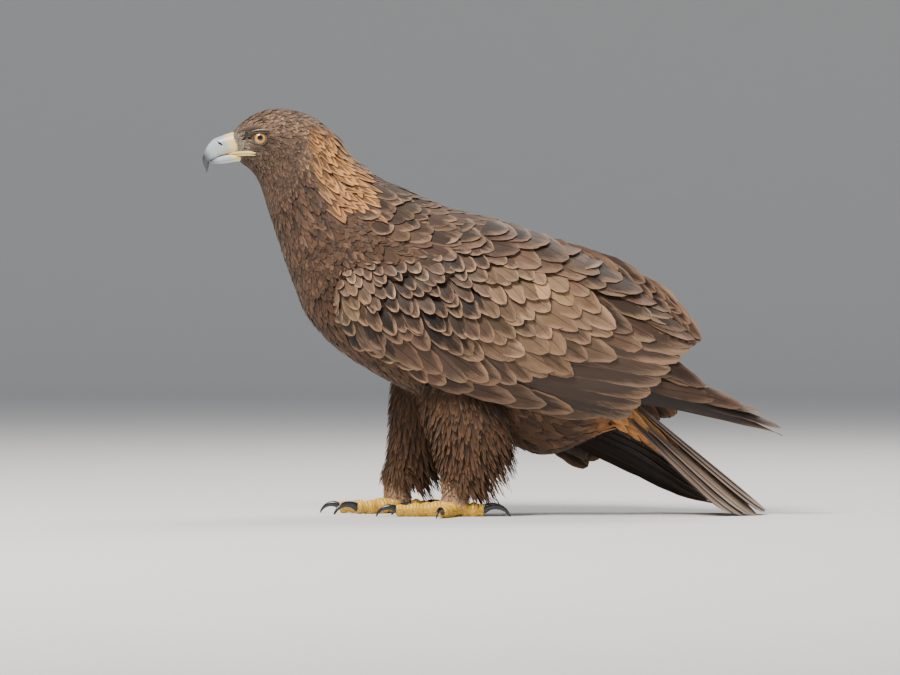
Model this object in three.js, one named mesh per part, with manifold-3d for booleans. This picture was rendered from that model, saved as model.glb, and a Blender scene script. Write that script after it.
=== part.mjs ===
// A golden eagle standing on level ground, at life size, in millimetres with +Z up.
// The bird faces -X. Its left side is -Y and its right side is +Y. The feathers that name the species
// from a step away are solid vanes: nape hackles, mantle, scapulars, wing coverts in tiers, secondaries,
// primaries, tail feathers and the loose feathers of the legs. Every sub-part is one closed body.
import * as THREE from "three";
import { mergeVertices } from "three/addons/utils/BufferGeometryUtils.js";
import Module from "manifold-3d";

const wasm = await Module();
wasm.setup();

const DEG = Math.PI / 180;
const GAP = 0.3; // air between parts that touch
const BODY_GAP = 0.36; // and between the body and what lies along its curves
const LEFT = -1;
const RIGHT = 1;

// Body sections from the face to the tail root. Each runs from a point on the underside to a point on the
// upper side, both in the plane of symmetry, with the half width between them.
// [under x, under z, over x, over z, half width]
const BODY = {
  face: [-256, 455, -265, 491, 13],
  gape: [-248, 449, -253, 507, 22],
  brow: [-240, 443, -234, 516, 31],
  crown: [-232, 434, -210, 520, 36],
  cheek: [-226, 423, -182, 517, 39],
  occiput: [-221, 409, -154, 506, 40],
  nape: [-216, 393, -131, 485, 42],
  throat: [-210, 374, -114, 460, 47],
  collar: [-203, 352, -87, 439, 56],
  mantle: [-194, 326, -52, 420, 68],
  shoulder: [-182, 294, -14, 402, 80],
  breast: [-164, 252, 19, 389, 89],
  keel: [-122, 209, 64, 375, 94],
  flank: [-52, 167, 127, 349, 92],
  loin: [20, 134, 188, 306, 82],
  vent: [88, 94, 226, 254, 64],
  rump: [142, 78, 250, 216, 46],
  tail_root: [200, 100, 268, 184, 30],
};
const BODY_ROWS = Object.values(BODY);
const BODY_STEPS = 2; // rings to a section
const BODY_SIDES = 22;
const CROWN_FULLNESS = 0.1; // how much wider the upper half of a section is than the lower

// Bill sections, from inside the face to the tip.
const BILL_UPPER = [
  [-246, 462, -256, 496, 14],
  [-257, 462.5, -266, 491, 13],
  [-267.5, 462, -276.5, 486.5, 11.2],
  [-276.5, 459.5, -287, 480.3, 9.2],
  [-285, 454.6, -295.2, 469.8, 7],
  [-290.2, 452, -300, 458.2, 5],
  [-291.8, 448, -299.2, 449.6, 3.3],
  [-292.8, 443, -296.8, 443.4, 1.9],
  [-294.3, 438.4, -295.3, 438.2, 0.7],
];
const BILL_LOWER = [
  [-244, 453, -244, 462.5, 12],
  [-256, 452.6, -256, 462, 10.8],
  [-267, 450.8, -267, 461.4, 9.4],
  [-279, 449.6, -279, 458.6, 7],
  [-286.5, 450, -286.5, 454.6, 5],
  [-289.3, 451.2, -289.3, 452.8, 3.4],
];
const BILL_FLATNESS = 0.45; // under 1, the facing sides of the two halves are flat
const BILL_GAP = 0.42; // between the two halves
const BILL_SIDES = 14;
const BALL_SIDES = 14;
const NOSTRIL = { x: -277.5, z: 475, reach: 12, length: 4.2, depth: 4, height: 1.3, slope: 35 };

const EYE = { x: -228, z: 480.5, depth: 26.5, radius: 10.8 };
const LID = { ring: 8.9, thick: 1.9, out: 6.9, forward: 14 };
const BROW = { x: -234, z: 493, out: 30, length: 15, height: 4, thick: 6, slope: 12, turn: 16 };
const GAPE = { x: -242, z: 462.4, out: 23.5, length: 17, thick: 5, height: 1.9, turn: 24 };
const MOUTH_LINE = { drop: 2.3, out: 26.5, height: 0.6, length: 18, half: 4.5 };

// Folded left wing, seen from the side: bottom edge, top edge and how far out the section bulges.
// [bottom x, bottom z, top x, top z, half width]
const WING = [
  [-131.5, 285, -130, 297, 68],
  [-124, 255, -115, 330, 82],
  [-102, 225, -79, 354, 94],
  [-61, 196, -26, 371, 102],
  [0, 168, 38, 379, 106],
  [77, 148, 109, 364, 105],
  [154, 134, 179, 332, 98],
  [218, 131, 250, 290, 87],
  [269, 130, 314, 236, 74],
  [333, 119, 358, 178, 61],
  [390, 105, 407, 149, 50],
  [446, 90, 451, 116, 42],
];
const WING_LOW_TURN = -38 * DEG; // where the section's ellipse starts at the bottom edge
const WING_HIGH_TURN = 82 * DEG; // and ends at the top edge, near the spine
const WING_PIVOT = new THREE.Vector3(-70, 0, 300); // shoulder
const RIGHT_DROOP = 14 * DEG; // how far the right hand hangs below the left one
const RIGHT_SPREAD = 20; // and how much further out it stands
const DROOP_FROM = -60; // x where the droop begins
const DROOP_TO = 260; // and where it is full
const GROUND_EASE = 34; // height under which a hanging feather bends to lie on the ground
const GROUND_CLEAR = 1;
const EDGE_THICK = 2.5; // thickness of the wing's solid at its edges
const SHELL_SLICES = 8;
const SHELL_ACROSS = 6;
const ARM_END = 176; // x where the arm's solid ends and the hand's begins
const VANE_THICK = 0.9;
const VANE_CAMBER = 0.02; // drop of a vane's edges below its shaft, as a share of its width

const MATERIALS = {
  plumage: new THREE.MeshStandardMaterial({ color: 0x4a3629, roughness: 0.85, metalness: 0 }),
  nape: new THREE.MeshStandardMaterial({ color: 0x8a6238, roughness: 0.8, metalness: 0 }),
  wing: new THREE.MeshStandardMaterial({ color: 0x5b4636, roughness: 0.8, metalness: 0 }),
  flight: new THREE.MeshStandardMaterial({ color: 0x2e2724, roughness: 0.7, metalness: 0 }),
  leg: new THREE.MeshStandardMaterial({ color: 0x5c4130, roughness: 0.9, metalness: 0 }),
  toe: new THREE.MeshStandardMaterial({ color: 0xd9a93a, roughness: 0.6, metalness: 0 }),
  claw: new THREE.MeshStandardMaterial({ color: 0x2b2a2d, roughness: 0.3, metalness: 0 }),
  bill: new THREE.MeshStandardMaterial({ color: 0x9aa3a3, roughness: 0.35, metalness: 0 }),
  eye: new THREE.MeshStandardMaterial({ color: 0xb9802e, roughness: 0.1, metalness: 0 }),
};

const eagle = new THREE.Group();

// Solids

function solidOf(positions, triangles) {
  const build = (order) =>
    new wasm.Manifold(
      new wasm.Mesh({
        numProp: 3,
        vertProperties: new Float32Array(positions),
        triVerts: new Uint32Array(order),
      }),
    );
  const made = build(triangles);
  if (made.volume() > 0) return made;
  const turned = [];
  for (let i = 0; i < triangles.length; i += 3) {
    turned.push(triangles[i], triangles[i + 2], triangles[i + 1]);
  }
  return build(turned);
}

function solidOfGeometry(geometry) {
  const bare = new THREE.BufferGeometry();
  bare.setAttribute("position", geometry.getAttribute("position"));
  if (geometry.index) bare.setIndex(geometry.index);
  const merged = mergeVertices(bare, 1e-3);
  return solidOf(merged.getAttribute("position").array, merged.index.array);
}

function geometryOfSolid(solid) {
  const mesh = solid.getMesh();
  const geometry = new THREE.BufferGeometry();
  geometry.setAttribute("position", new THREE.BufferAttribute(mesh.vertProperties, mesh.numProp));
  geometry.setIndex(new THREE.BufferAttribute(mesh.triVerts, 1));
  geometry.computeVertexNormals();
  return geometry;
}

// The largest closed surface of a solid, so that a sealed hollow is filled and a loose scrap dropped.
function largest(solid) {
  return solid.decompose().reduce((best, piece) => (piece.volume() > best.volume() ? piece : best));
}

function fuse(pieces) {
  return pieces.reduce((whole, piece) => whole.add(piece));
}

function addPart(name, solid, material) {
  const mesh = new THREE.Mesh(geometryOfSolid(largest(solid)), material);
  mesh.name = name;
  eagle.add(mesh);
}

function ellipsoid(centre, radii, turn = new THREE.Euler(), detail = 8) {
  const geometry = new THREE.SphereGeometry(1, detail, Math.max(6, detail / 2));
  geometry.scale(...radii);
  geometry.applyMatrix4(new THREE.Matrix4().makeRotationFromEuler(turn));
  geometry.translate(centre.x, centre.y, centre.z);
  return solidOfGeometry(geometry);
}

// Rings of points, all with the same count, joined into a closed tube with a fan at each end.
function tube(rings) {
  const sides = rings[0].length;
  const positions = rings.flat().flatMap((p) => [p.x, p.y, p.z]);
  const middles = [rings[0], rings.at(-1)].map((ring) =>
    ring.reduce((sum, p) => sum.add(p), new THREE.Vector3()).divideScalar(sides),
  );
  middles.forEach((p) => positions.push(p.x, p.y, p.z));
  const first = rings.length * sides;
  const triangles = [];
  for (let i = 0; i + 1 < rings.length; i++) {
    for (let j = 0; j < sides; j++) {
      const a = i * sides + j;
      const b = i * sides + ((j + 1) % sides);
      triangles.push(a, b, a + sides, b, b + sides, a + sides);
    }
  }
  for (let j = 0; j < sides; j++) {
    const k = (j + 1) % sides;
    triangles.push(first, k, j);
    triangles.push(first + 1, (rings.length - 1) * sides + j, (rings.length - 1) * sides + k);
  }
  return solidOf(positions, triangles);
}

// Curves through rows of numbers

function rowAt(rows, t) {
  const i = Math.min(Math.max(Math.floor(t), 0), rows.length - 2);
  const f = t - i;
  if (f <= 0 || f >= 1) return rows[i].map((a, k) => a + (rows[i + 1][k] - a) * f);
  const before = rows[Math.max(i - 1, 0)];
  const after = rows[Math.min(i + 2, rows.length - 1)];
  return rows[i].map((b, k) => {
    const a = before[k];
    const c = rows[i + 1][k];
    const d = after[k];
    const bend = 2 * a - 5 * b + 4 * c - d;
    const twist = 3 * b - a - 3 * c + d;
    return 0.5 * (2 * b + (c - a) * f + bend * f ** 2 + twist * f ** 3);
  });
}

const mix = (a, b, t) => a + (b - a) * t;

// Angles of one turn, shared out evenly.
const turns = (count) => Array.from({ length: count }, (_, j) => (j / count) * 2 * Math.PI);

// A point of a section: angle 0 is the left side, 90 degrees the upper side.
function sectionPoint(row, angle, grow = 0, shape = {}) {
  const [ux, uz, ox, oz, half] = row;
  const tall = Math.hypot(ox - ux, oz - uz) / 2;
  const sine = Math.sin(angle);
  const power = sine > 0 ? (shape.over ?? 1) : (shape.under ?? 1);
  const rise = (Math.sign(sine) * Math.abs(sine) ** power * (tall + grow)) / tall / 2;
  const wide = (half + grow) * (1 + (shape.full ?? 0) * sine);
  return new THREE.Vector3(
    mix(ux, ox, 0.5 + rise),
    -wide * Math.cos(angle),
    mix(uz, oz, 0.5 + rise),
  );
}

function sectionLoft(rows, steps, sides, grow = 0, shape = {}) {
  const rings = [];
  const count = (rows.length - 1) * steps;
  for (let i = 0; i <= count; i++) {
    const row = rowAt(rows, i / steps);
    rings.push(turns(sides).map((angle) => sectionPoint(row, angle, grow, shape)));
  }
  return tube(rings);
}

// Cuts through the body at a named section. side 1 keeps what lies towards the tail, -1 towards the bill.
function cutAt(solid, sectionName, side) {
  const [ux, uz, ox, oz] = BODY[sectionName];
  const normal = new THREE.Vector3(oz - uz, 0, ux - ox).normalize().multiplyScalar(side);
  const offset = normal.x * ux + normal.z * uz + GAP / 2;
  return solid.trimByPlane([normal.x, 0, normal.z], offset);
}

// Vanes

// A closed thin vane. pointAt(t, s) gives a point of its middle layer and the normal there, with t from
// the root to the tip and s from -1 to 1 across. The outline lists rows as [t, share of the half width].
// A row has three points on each face, and both ends close to a point.
function vane(pointAt, outline, thick = VANE_THICK) {
  const positions = [];
  const add = (t, s, side) => {
    const { point, normal } = pointAt(t, s);
    point.addScaledVector(normal, (side * thick) / 2);
    return positions.push(point.x, point.y, point.z) / 3 - 1;
  };
  const root = add(0, 0, 0);
  const tip = add(1, 0, 0);
  const [upper, lower] = [1, -1].map((side) =>
    outline.map(([t, share]) => [-1, 0, 1].map((s) => add(t, s * share, side))),
  );
  const triangles = [];
  const strip = (left, right, turned) => {
    const put = (a, b, c) => (turned ? triangles.push(a, c, b) : triangles.push(a, b, c));
    put(root, left[0], right[0]);
    for (let i = 1; i < left.length; i++) {
      put(right[i - 1], left[i - 1], left[i]);
      put(right[i - 1], left[i], right[i]);
    }
    put(tip, right.at(-1), left.at(-1));
  };
  const column = (rows, k) => rows.map((row) => row[k]);
  for (const k of [0, 1]) {
    strip(column(upper, k), column(upper, k + 1), false);
    strip(column(lower, k), column(lower, k + 1), true);
  }
  strip(column(lower, 0), column(upper, 0), false);
  strip(column(lower, 2), column(upper, 2), true);
  return solidOf(positions, triangles);
}

const ROUND_VANE = [[0.5, 1], [0.87, 0.78]];
const LONG_VANE = [[0.5, 1], [0.92, 0.7]];
const POINTED_VANE = [[0.4, 0.95], [0.75, 0.7]];
const TAIL_VANE = [[0.6, 1], [0.95, 0.75]];
const PRIMARY_VANE = [[0.5, 1], [0.9, 0.55]];

// Surfaces

// A surface is a function of two numbers that gives a point. This gives the outward normal too.
function withNormal(surface, a, b, outward) {
  const step = 0.5;
  const point = surface(a, b);
  const alongA = surface(a + step, b).sub(surface(a - step, b));
  const alongB = surface(a, b + step).sub(surface(a, b - step));
  const normal = alongA.cross(alongB).normalize();
  if (normal.dot(outward(point)) < 0) normal.negate();
  return { point, normal };
}

// The wing's feather surface over the side view: a point for each x and z.
function wingSurface(x, z) {
  let low = -1;
  let high = WING.length;
  for (let i = 0; i < 24; i++) {
    const middle = (low + high) / 2;
    const [bx, bz, tx, tz] = rowAt(WING, middle);
    const ahead = (tx - bx) * (z - bz) - (tz - bz) * (x - bx);
    if (ahead < 0) low = middle;
    else high = middle;
  }
  const [bx, bz, tx, tz, half] = rowAt(WING, low);
  const share = ((x - bx) * (tx - bx) + (z - bz) * (tz - bz)) / ((tx - bx) ** 2 + (tz - bz) ** 2);
  const held = THREE.MathUtils.clamp(share, -0.12, 1.02);
  const sine = mix(Math.sin(WING_LOW_TURN), Math.sin(WING_HIGH_TURN), held);
  return new THREE.Vector3(x, -half * Math.sqrt(Math.max(1 - sine * sine, 0.02)), z);
}

const wingNormal = (x, z) => withNormal(wingSurface, x, z, () => new THREE.Vector3(0, -1, 0.3));

// What a vane of the wing has unless its tier says otherwise: bow is how far its middle bends aside,
// rootRise and tipRise are its heights over the feather surface, roll lifts one edge over the next vane,
// and a high ease brings it up early.
const WING_VANE = { bow: 0, rootRise: -4, tipRise: 3, roll: 1.5, ease: 3, outline: ROUND_VANE };

// A vane laid on the wing, which runs in the side view from root to tip.
function wingVane(spec) {
  const { root, tip, width, bow, rootRise, tipRise, roll, ease, outline } = { ...WING_VANE, ...spec };
  const run = new THREE.Vector2(tip[0] - root[0], tip[1] - root[1]);
  const across = new THREE.Vector2(-run.y, run.x).normalize();
  return vane((t, s) => {
    const aside = bow * 4 * t * (1 - t) + (s * width) / 2;
    const x = root[0] + run.x * t + across.x * aside;
    const z = root[1] + run.y * t + across.y * aside;
    const { point, normal } = wingNormal(x, z);
    const rise = mix(rootRise, tipRise, 1 - (1 - t) ** ease) - s * roll - width * VANE_CAMBER * s * s;
    return { point: point.addScaledVector(normal, rise), normal };
  }, outline);
}

// A row of vanes whose tips follow one curve and whose roots follow another, or the lie of the feathers.
function tier({ tips, roots, lies, count, length, width, ...rest }) {
  return Array.from({ length: count }, (_, i) => {
    const along = (rows) => rowAt(rows, (i / (count - 1)) * (rows.length - 1));
    const tip = along(tips);
    const lie = (lies ? along(lies)[0] : 0) * DEG;
    const long = length * (1 + 0.08 * Math.sin(i * 2.4));
    const root = roots ? along(roots) : [tip[0] - long * Math.cos(lie), tip[1] + long * Math.sin(lie)];
    return wingVane({ root, tip, width: width * (1 + 0.06 * Math.cos(i * 1.7)), ...rest });
  });
}

// Tiers of the wing as seen from the left: tips as [x, z], lies as degrees below level.
const WING_TIERS = {
  secondaries: {
    count: 9,
    tips: [
      [250, 140], [264, 150], [276, 166], [292, 184], [307, 202],
      [323, 215], [334, 222], [338, 226], [322, 250],
    ],
    roots: [[84, 160], [164, 318]],
    bow: 7,
    width: 27,
    outline: LONG_VANE,
    rootRise: -7,
    tipRise: 1,
    roll: 1.9,
  },
  greater: {
    tips: [[-63, 206], [-6, 189], [58, 173], [96, 170], [140, 186], [192, 203]],
    lies: [[62], [55], [42], [34], [30], [34]],
    count: 8,
    length: 84,
    width: 36,
    tipRise: 3.2,
  },
  median: {
    tips: [[-84, 236], [-37, 216], [6, 222], [52, 222], [96, 216], [145, 234], [200, 252]],
    lies: [[66], [58], [52], [48], [44], [42]],
    count: 8,
    length: 60,
    width: 35,
    tipRise: 4.6,
  },
  lower_lesser: {
    tips: [[-100, 272], [-66, 262], [-12, 262], [40, 268], [84, 260], [128, 268], [166, 286]],
    lies: [[64], [56], [48], [44], [40]],
    count: 7,
    length: 54,
    width: 35,
    tipRise: 6.2,
  },
  upper_lesser: {
    tips: [[-98, 306], [-64, 298], [-16, 302], [34, 308], [88, 308], [130, 304]],
    lies: [[62], [56], [46], [38], [34]],
    count: 6,
    length: 50,
    width: 35,
    tipRise: 7.6,
  },
  scapulars: {
    tips: [[74, 342], [112, 333], [150, 322], [188, 305], [226, 284]],
    lies: [[20], [22], [26], [30], [34]],
    count: 5,
    length: 78,
    width: 31,
    tipRise: 9,
    outline: LONG_VANE,
  },
};

// Primaries from the innermost, which lies outside, to the outermost, which lies inside.
const PRIMARIES = {
  count: 7,
  tips: [[317, 166], [338, 154], [360, 142], [397, 124], [443, 114], [440, 96], [416, 95]],
  roots: [[182, 196], [184, 148]],
  width: 29,
  bow: 5,
  rootRise: -13, // of the innermost
  tipRise: -2.6,
  rootStep: 0.6, // each lies this much deeper than the one before, at its root
  tipStep: 1.5, // and at its tip
};

// The right wing is the left one mirrored, bent down about the shoulder by a turn that grows towards the
// hand, and laid along the ground where it would reach it.
function placeWing(solid, side) {
  if (side === LEFT) return solid;
  return solid.mirror([0, 1, 0]).warp((v) => {
    const out = THREE.MathUtils.smoothstep(v[0], DROOP_FROM, DROOP_TO);
    const turn = RIGHT_DROOP * out;
    const x = v[0] - WING_PIVOT.x;
    const z = v[2] - WING_PIVOT.z;
    v[0] = WING_PIVOT.x + Math.cos(turn) * x + Math.sin(turn) * z;
    v[1] += out * RIGHT_SPREAD;
    v[2] = laid(WING_PIVOT.z - Math.sin(turn) * x + Math.cos(turn) * z);
  });
}

// A height that eases into the ground instead of passing through it.
function laid(z) {
  const reach = GROUND_EASE - GROUND_CLEAR;
  return z >= GROUND_EASE ? z : GROUND_CLEAR + reach * Math.exp((z - GROUND_EASE) / reach);
}

// A shell under the wing's surface, from one section to another, over a range of each section.
function wingShell({ from, to, depths, skin, low = 0.02, high = 0.98 }) {
  const rings = [];
  for (let i = 0; i <= SHELL_SLICES; i++) {
    const t = i / SHELL_SLICES;
    const [bx, bz, tx, tz] = rowAt(WING, mix(from, to, t));
    const depth = rowAt(depths, t * (depths.length - 1))[0];
    const outer = [];
    const inner = [];
    for (let j = 0; j <= SHELL_ACROSS; j++) {
      const share = mix(low, high, j / SHELL_ACROSS);
      const edge = Math.sin((j / SHELL_ACROSS) * Math.PI) ** 0.5;
      const { point, normal } = wingNormal(mix(bx, tx, share), mix(bz, tz, share));
      outer.push(point.clone().addScaledVector(normal, -skin));
      inner.push(point.clone().addScaledVector(normal, -skin - EDGE_THICK - depth * edge));
    }
    rings.push([...outer, ...inner.reverse()]);
  }
  return tube(rings);
}

// The wing's inner solids: sections they run between, depth under the feather surface and thickness.
const ARM_SHELL = { from: 0.2, to: 7.1, skin: 2.2, depths: [[8], [20], [24], [24], [20], [16], [14]] };
const HAND_SHELL = { from: 5.6, to: 8.2, skin: 9, depths: [[12], [12], [9], [3]], low: 0.04, high: 0.62 };

function makeWing(side, body) {
  const name = side === LEFT ? "left" : "right";
  const arm = wingShell(ARM_SHELL).trimByPlane([-1, 0, 0], -ARM_END + GAP / 2);
  const vanes = Object.values(WING_TIERS).flatMap(tier);
  const armWhole = largest(fuse([arm, ...vanes]));
  addPart(`wing_${name}_arm`, placeWing(armWhole, side).subtract(body), MATERIALS.wing);

  const hand = wingShell(HAND_SHELL);
  const primaries = Array.from({ length: PRIMARIES.count }, (_, i) =>
    wingVane({
      root: rowAt(PRIMARIES.roots, i / (PRIMARIES.count - 1)),
      tip: PRIMARIES.tips[i],
      width: PRIMARIES.width,
      bow: PRIMARIES.bow,
      rootRise: PRIMARIES.rootRise - i * PRIMARIES.rootStep,
      tipRise: PRIMARIES.tipRise - i * PRIMARIES.tipStep,
      ease: 1,
      outline: PRIMARY_VANE,
    }),
  );
  const handWhole = largest(fuse([hand, ...primaries]).trimByPlane([1, 0, 0], ARM_END + GAP / 2));
  addPart(`wing_${name}_hand`, placeWing(handWhole, side).subtract(body), MATERIALS.flight);
}

// Head, neck and torso

const BODY_ROOT_RISE = -2.5; // a body feather's root lies this far under the skin

function bodyPoint(section, angle) {
  return sectionPoint(rowAt(BODY_ROWS, section), angle, 0, { full: CROWN_FULLNESS });
}

// A vane on the body that follows its sections towards the tail. section and angle place the root.
function bodyVane({ section, angle, length, width, tipRise }) {
  const here = bodyPoint(section, angle);
  const perSection = here.distanceTo(bodyPoint(section + 0.1, angle)) * 10;
  const perRadian = here.distanceTo(bodyPoint(section, angle + 0.05)) * 20;
  return vane((t, s) => {
    const at = section + (length * t) / perSection;
    const turn = angle + (s * width) / 2 / perRadian;
    const row = rowAt(BODY_ROWS, at);
    const centre = new THREE.Vector3((row[0] + row[2]) / 2, 0, (row[1] + row[3]) / 2);
    const point = bodyPoint(at, turn);
    const alongBody = bodyPoint(at + 0.05, turn).sub(bodyPoint(at - 0.05, turn));
    const around = bodyPoint(at, turn + 0.05).sub(bodyPoint(at, turn - 0.05));
    const normal = alongBody.cross(around).normalize();
    if (normal.dot(point.clone().sub(centre)) < 0) normal.negate();
    const rise = mix(BODY_ROOT_RISE, tipRise, 1 - (1 - t) ** 2) - width * VANE_CAMBER * s * s;
    return { point: point.addScaledVector(normal, rise), normal };
  }, POINTED_VANE);
}

// Staggered rows of vanes on the body, from section to section, spread over an arc that runs from one
// pair of end angles at the first row to another at the last. Their spacing is in millimetres.
function bodyRows({ rows, from, to, low, high, spacing, ...rest }) {
  const made = [];
  for (let i = 0; i < rows; i++) {
    const t = i / (rows - 1);
    const section = mix(from, to, t);
    const start = mix(low[0], low[1], t) * DEG;
    const arc = mix(high[0], high[1], t) * DEG - start;
    const girth = bodyPoint(section, start).distanceTo(bodyPoint(section, start + arc / 2)) * 2;
    const gaps = Math.max(1, Math.round(girth / spacing)) - (i % 2 ? 0.5 : 0);
    for (let j = i % 2 ? 0.5 : 0; j <= gaps; j++) {
      made.push(bodyVane({ section, angle: start + (arc * j) / gaps, ...rest }));
    }
  }
  return made;
}

// Golden hackles round the nape and the sides of the neck.
const HACKLES = {
  rows: 4,
  from: 5.1,
  to: 7.8,
  low: [2, 16],
  high: [178, 164],
  spacing: 21,
  length: 42,
  width: 19,
  tipRise: 4,
};
// Broad feathers of the upper back, down to where the wings cover it.
const MANTLE = {
  rows: 4,
  from: 9.05,
  to: 11.4,
  low: [36, 68],
  high: [144, 112],
  spacing: 31,
  length: 60,
  width: 28,
  tipRise: 3.4,
};

function makeHead(body) {
  const sideParts = (make) => [LEFT, RIGHT].map(make);
  let head = cutAt(body, "occiput", -1);
  const lids = sideParts((side) => {
    const ring = new THREE.TorusGeometry(LID.ring, LID.thick, 4, BALL_SIDES);
    ring.rotateX(90 * DEG);
    ring.rotateZ(-side * LID.forward * DEG);
    ring.translate(EYE.x, side * (EYE.depth + LID.out), EYE.z);
    return solidOfGeometry(ring);
  });
  const brows = sideParts((side) =>
    ellipsoid(
      new THREE.Vector3(BROW.x, side * BROW.out, BROW.z),
      [BROW.length, BROW.thick, BROW.height],
      new THREE.Euler(0, -BROW.slope * DEG, -side * BROW.turn * DEG),
    ),
  );
  const lips = sideParts((side) =>
    ellipsoid(
      new THREE.Vector3(GAPE.x, side * GAPE.out, GAPE.z),
      [GAPE.length, GAPE.thick, GAPE.height],
      new THREE.Euler(0, 0, side * GAPE.turn * DEG),
    ),
  );
  head = fuse([head, ...lids, ...brows, ...lips]);
  for (const side of [LEFT, RIGHT]) {
    const line = ellipsoid(
      new THREE.Vector3(GAPE.x, side * MOUTH_LINE.out, GAPE.z - MOUTH_LINE.drop),
      [MOUTH_LINE.length, MOUTH_LINE.half, MOUTH_LINE.height],
      new THREE.Euler(0, 0, side * GAPE.turn * DEG),
    );
    const centre = new THREE.Vector3(EYE.x, side * EYE.depth, EYE.z);
    const eyeBall = (radius) => ellipsoid(centre, [radius, radius, radius], undefined, BALL_SIDES);
    head = head.subtract(line).subtract(eyeBall(EYE.radius + GAP));
    addPart(`eye_${side === LEFT ? "left" : "right"}`, eyeBall(EYE.radius), MATERIALS.eye);
  }
  const faceCut = (solid) => cutAt(solid, "face", -1);
  const upperShape = { under: BILL_FLATNESS };
  const upper = faceCut(sectionLoft(BILL_UPPER, 1, BILL_SIDES, 0, upperShape));
  const nostrils = sideParts((side) =>
    ellipsoid(
      new THREE.Vector3(NOSTRIL.x, side * NOSTRIL.reach, NOSTRIL.z),
      [NOSTRIL.length, NOSTRIL.depth, NOSTRIL.height],
      new THREE.Euler(0, NOSTRIL.slope * DEG, 0),
    ),
  );
  const lower = faceCut(sectionLoft(BILL_LOWER, 1, BILL_SIDES, 0, { over: BILL_FLATNESS }));
  const upperGrown = sectionLoft(BILL_UPPER, 1, BILL_SIDES, BILL_GAP, upperShape);
  addPart("bill_upper", nostrils.reduce((solid, hole) => solid.subtract(hole), upper), MATERIALS.bill);
  addPart("bill_lower", lower.subtract(upperGrown), MATERIALS.bill);
  addPart("head", cutAt(head, "face", 1), MATERIALS.plumage);
}

// Tail: twelve feathers in a closed fan, the middle pair on top.
const TAIL = {
  root: new THREE.Vector3(214, 0, 176),
  fall: 39.5 * DEG,
  pairs: 6,
  length: 268,
  width: 42,
  spread: 5.6, // sideways step between neighbours at the tip
  drop: 4.4, // step down between neighbours at the tip
  tilt: 26 * DEG, // of the outer feathers
  closed: 0.35, // share of the spread and the drop that the roots have
  taper: 0.6, // width at the root as a share of the width at the tip
  shorter: 1.3, // by which each pair is shorter than the one above, times its number squared
  layer: 1.3, // step down between neighbours at the root
  overlap: 0.7, // by which a right feather lies under its left one
  middle: 8, // how far the middle pair's shafts stand from the plane of symmetry
};
// The flesh of the tail's base, in sections like the body's.
const TAIL_BASE = [
  [190, 92, 262, 190, 34],
  [216, 94, 282, 172, 30],
  [244, 92, 294, 152, 26],
  [268, 88, 302, 132, 18],
  [286, 84, 306, 114, 8],
];
const TAIL_BASE_SIDES = 14;

function tailFeather(side, k) {
  const along = new THREE.Vector3(Math.cos(TAIL.fall), 0, -Math.sin(TAIL.fall));
  const up = new THREE.Vector3(Math.sin(TAIL.fall), 0, Math.cos(TAIL.fall));
  const tilt = TAIL.tilt * Math.min(1, 0.35 + k * 0.2);
  const outward = new THREE.Vector3(0, side, 0);
  const normal = up.clone().multiplyScalar(Math.cos(tilt)).addScaledVector(outward, Math.sin(tilt));
  const across = outward.clone().multiplyScalar(Math.cos(tilt)).addScaledVector(up, -Math.sin(tilt));
  const length = TAIL.length - TAIL.shorter * k * k;
  return vane((t, s) => {
    const open = mix(TAIL.closed, 1, t);
    const point = TAIL.root
      .clone()
      .addScaledVector(along, length * t)
      .addScaledVector(up, -TAIL.drop * k * open - TAIL.layer * k - side * TAIL.overlap)
      .addScaledVector(outward, (TAIL.middle + TAIL.spread * k) * open)
      .addScaledVector(across, (s * TAIL.width * mix(TAIL.taper, 1, t)) / 2)
      .addScaledVector(normal, -TAIL.width * VANE_CAMBER * s * s);
    return { point, normal };
  }, TAIL_VANE);
}

// Coverts under the tail's base, in two staggered rows. The first row's middle starts at x and z, and the
// next starts further back.
const UNDER_TAIL = {
  rows: 2,
  across: 4,
  length: 96,
  width: 23,
  fall: 32 * DEG,
  x: 203,
  z: 108,
  back: 12,
  apart: 14,
  crown: 3,
};

function underTailCovert(row, i) {
  const aside = i - (UNDER_TAIL.across - 1) / 2 + row / 2;
  const fall = UNDER_TAIL.fall;
  const along = new THREE.Vector3(Math.cos(fall), aside * 0.03, -Math.sin(fall)).normalize();
  const normal = new THREE.Vector3(-Math.sin(fall), 0, -Math.cos(fall));
  const start = new THREE.Vector3(
    UNDER_TAIL.x + row * UNDER_TAIL.back,
    aside * UNDER_TAIL.apart,
    UNDER_TAIL.z + Math.abs(aside) * UNDER_TAIL.crown,
  );
  return vane((t, s) => {
    const point = start
      .clone()
      .addScaledVector(along, UNDER_TAIL.length * t)
      .addScaledVector(normal, mix(-5, 4 - 2 * row, t) - s * s)
      .add(new THREE.Vector3(0, (s * UNDER_TAIL.width) / 2, 0));
    return { point, normal };
  }, POINTED_VANE);
}

function makeTail() {
  const pieces = [sectionLoft(TAIL_BASE, 1, TAIL_BASE_SIDES)];
  for (let k = 0; k < TAIL.pairs; k++) pieces.push(tailFeather(LEFT, k), tailFeather(RIGHT, k));
  for (let row = 0; row < UNDER_TAIL.rows; row++) {
    for (let i = 0; i < UNDER_TAIL.across; i++) pieces.push(underTailCovert(row, i));
  }
  const whole = fuse(pieces);
  addPart("tail", cutAt(whole, "tail_root", 1).trimByPlane([0, 0, 1], GROUND_CLEAR), MATERIALS.flight);
}

// Legs

// Both legs: the foot's place on the ground, the knee inside the flank and the ankle.
const LEGS = {
  left: { side: LEFT, foot: [22, -46], knee: [16, -42, 150], ankle: [26, -45, 52] },
  right: { side: RIGHT, foot: [-52, 46], knee: [-22, 42, 168], ankle: [-50, 46, 58] },
};
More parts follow.
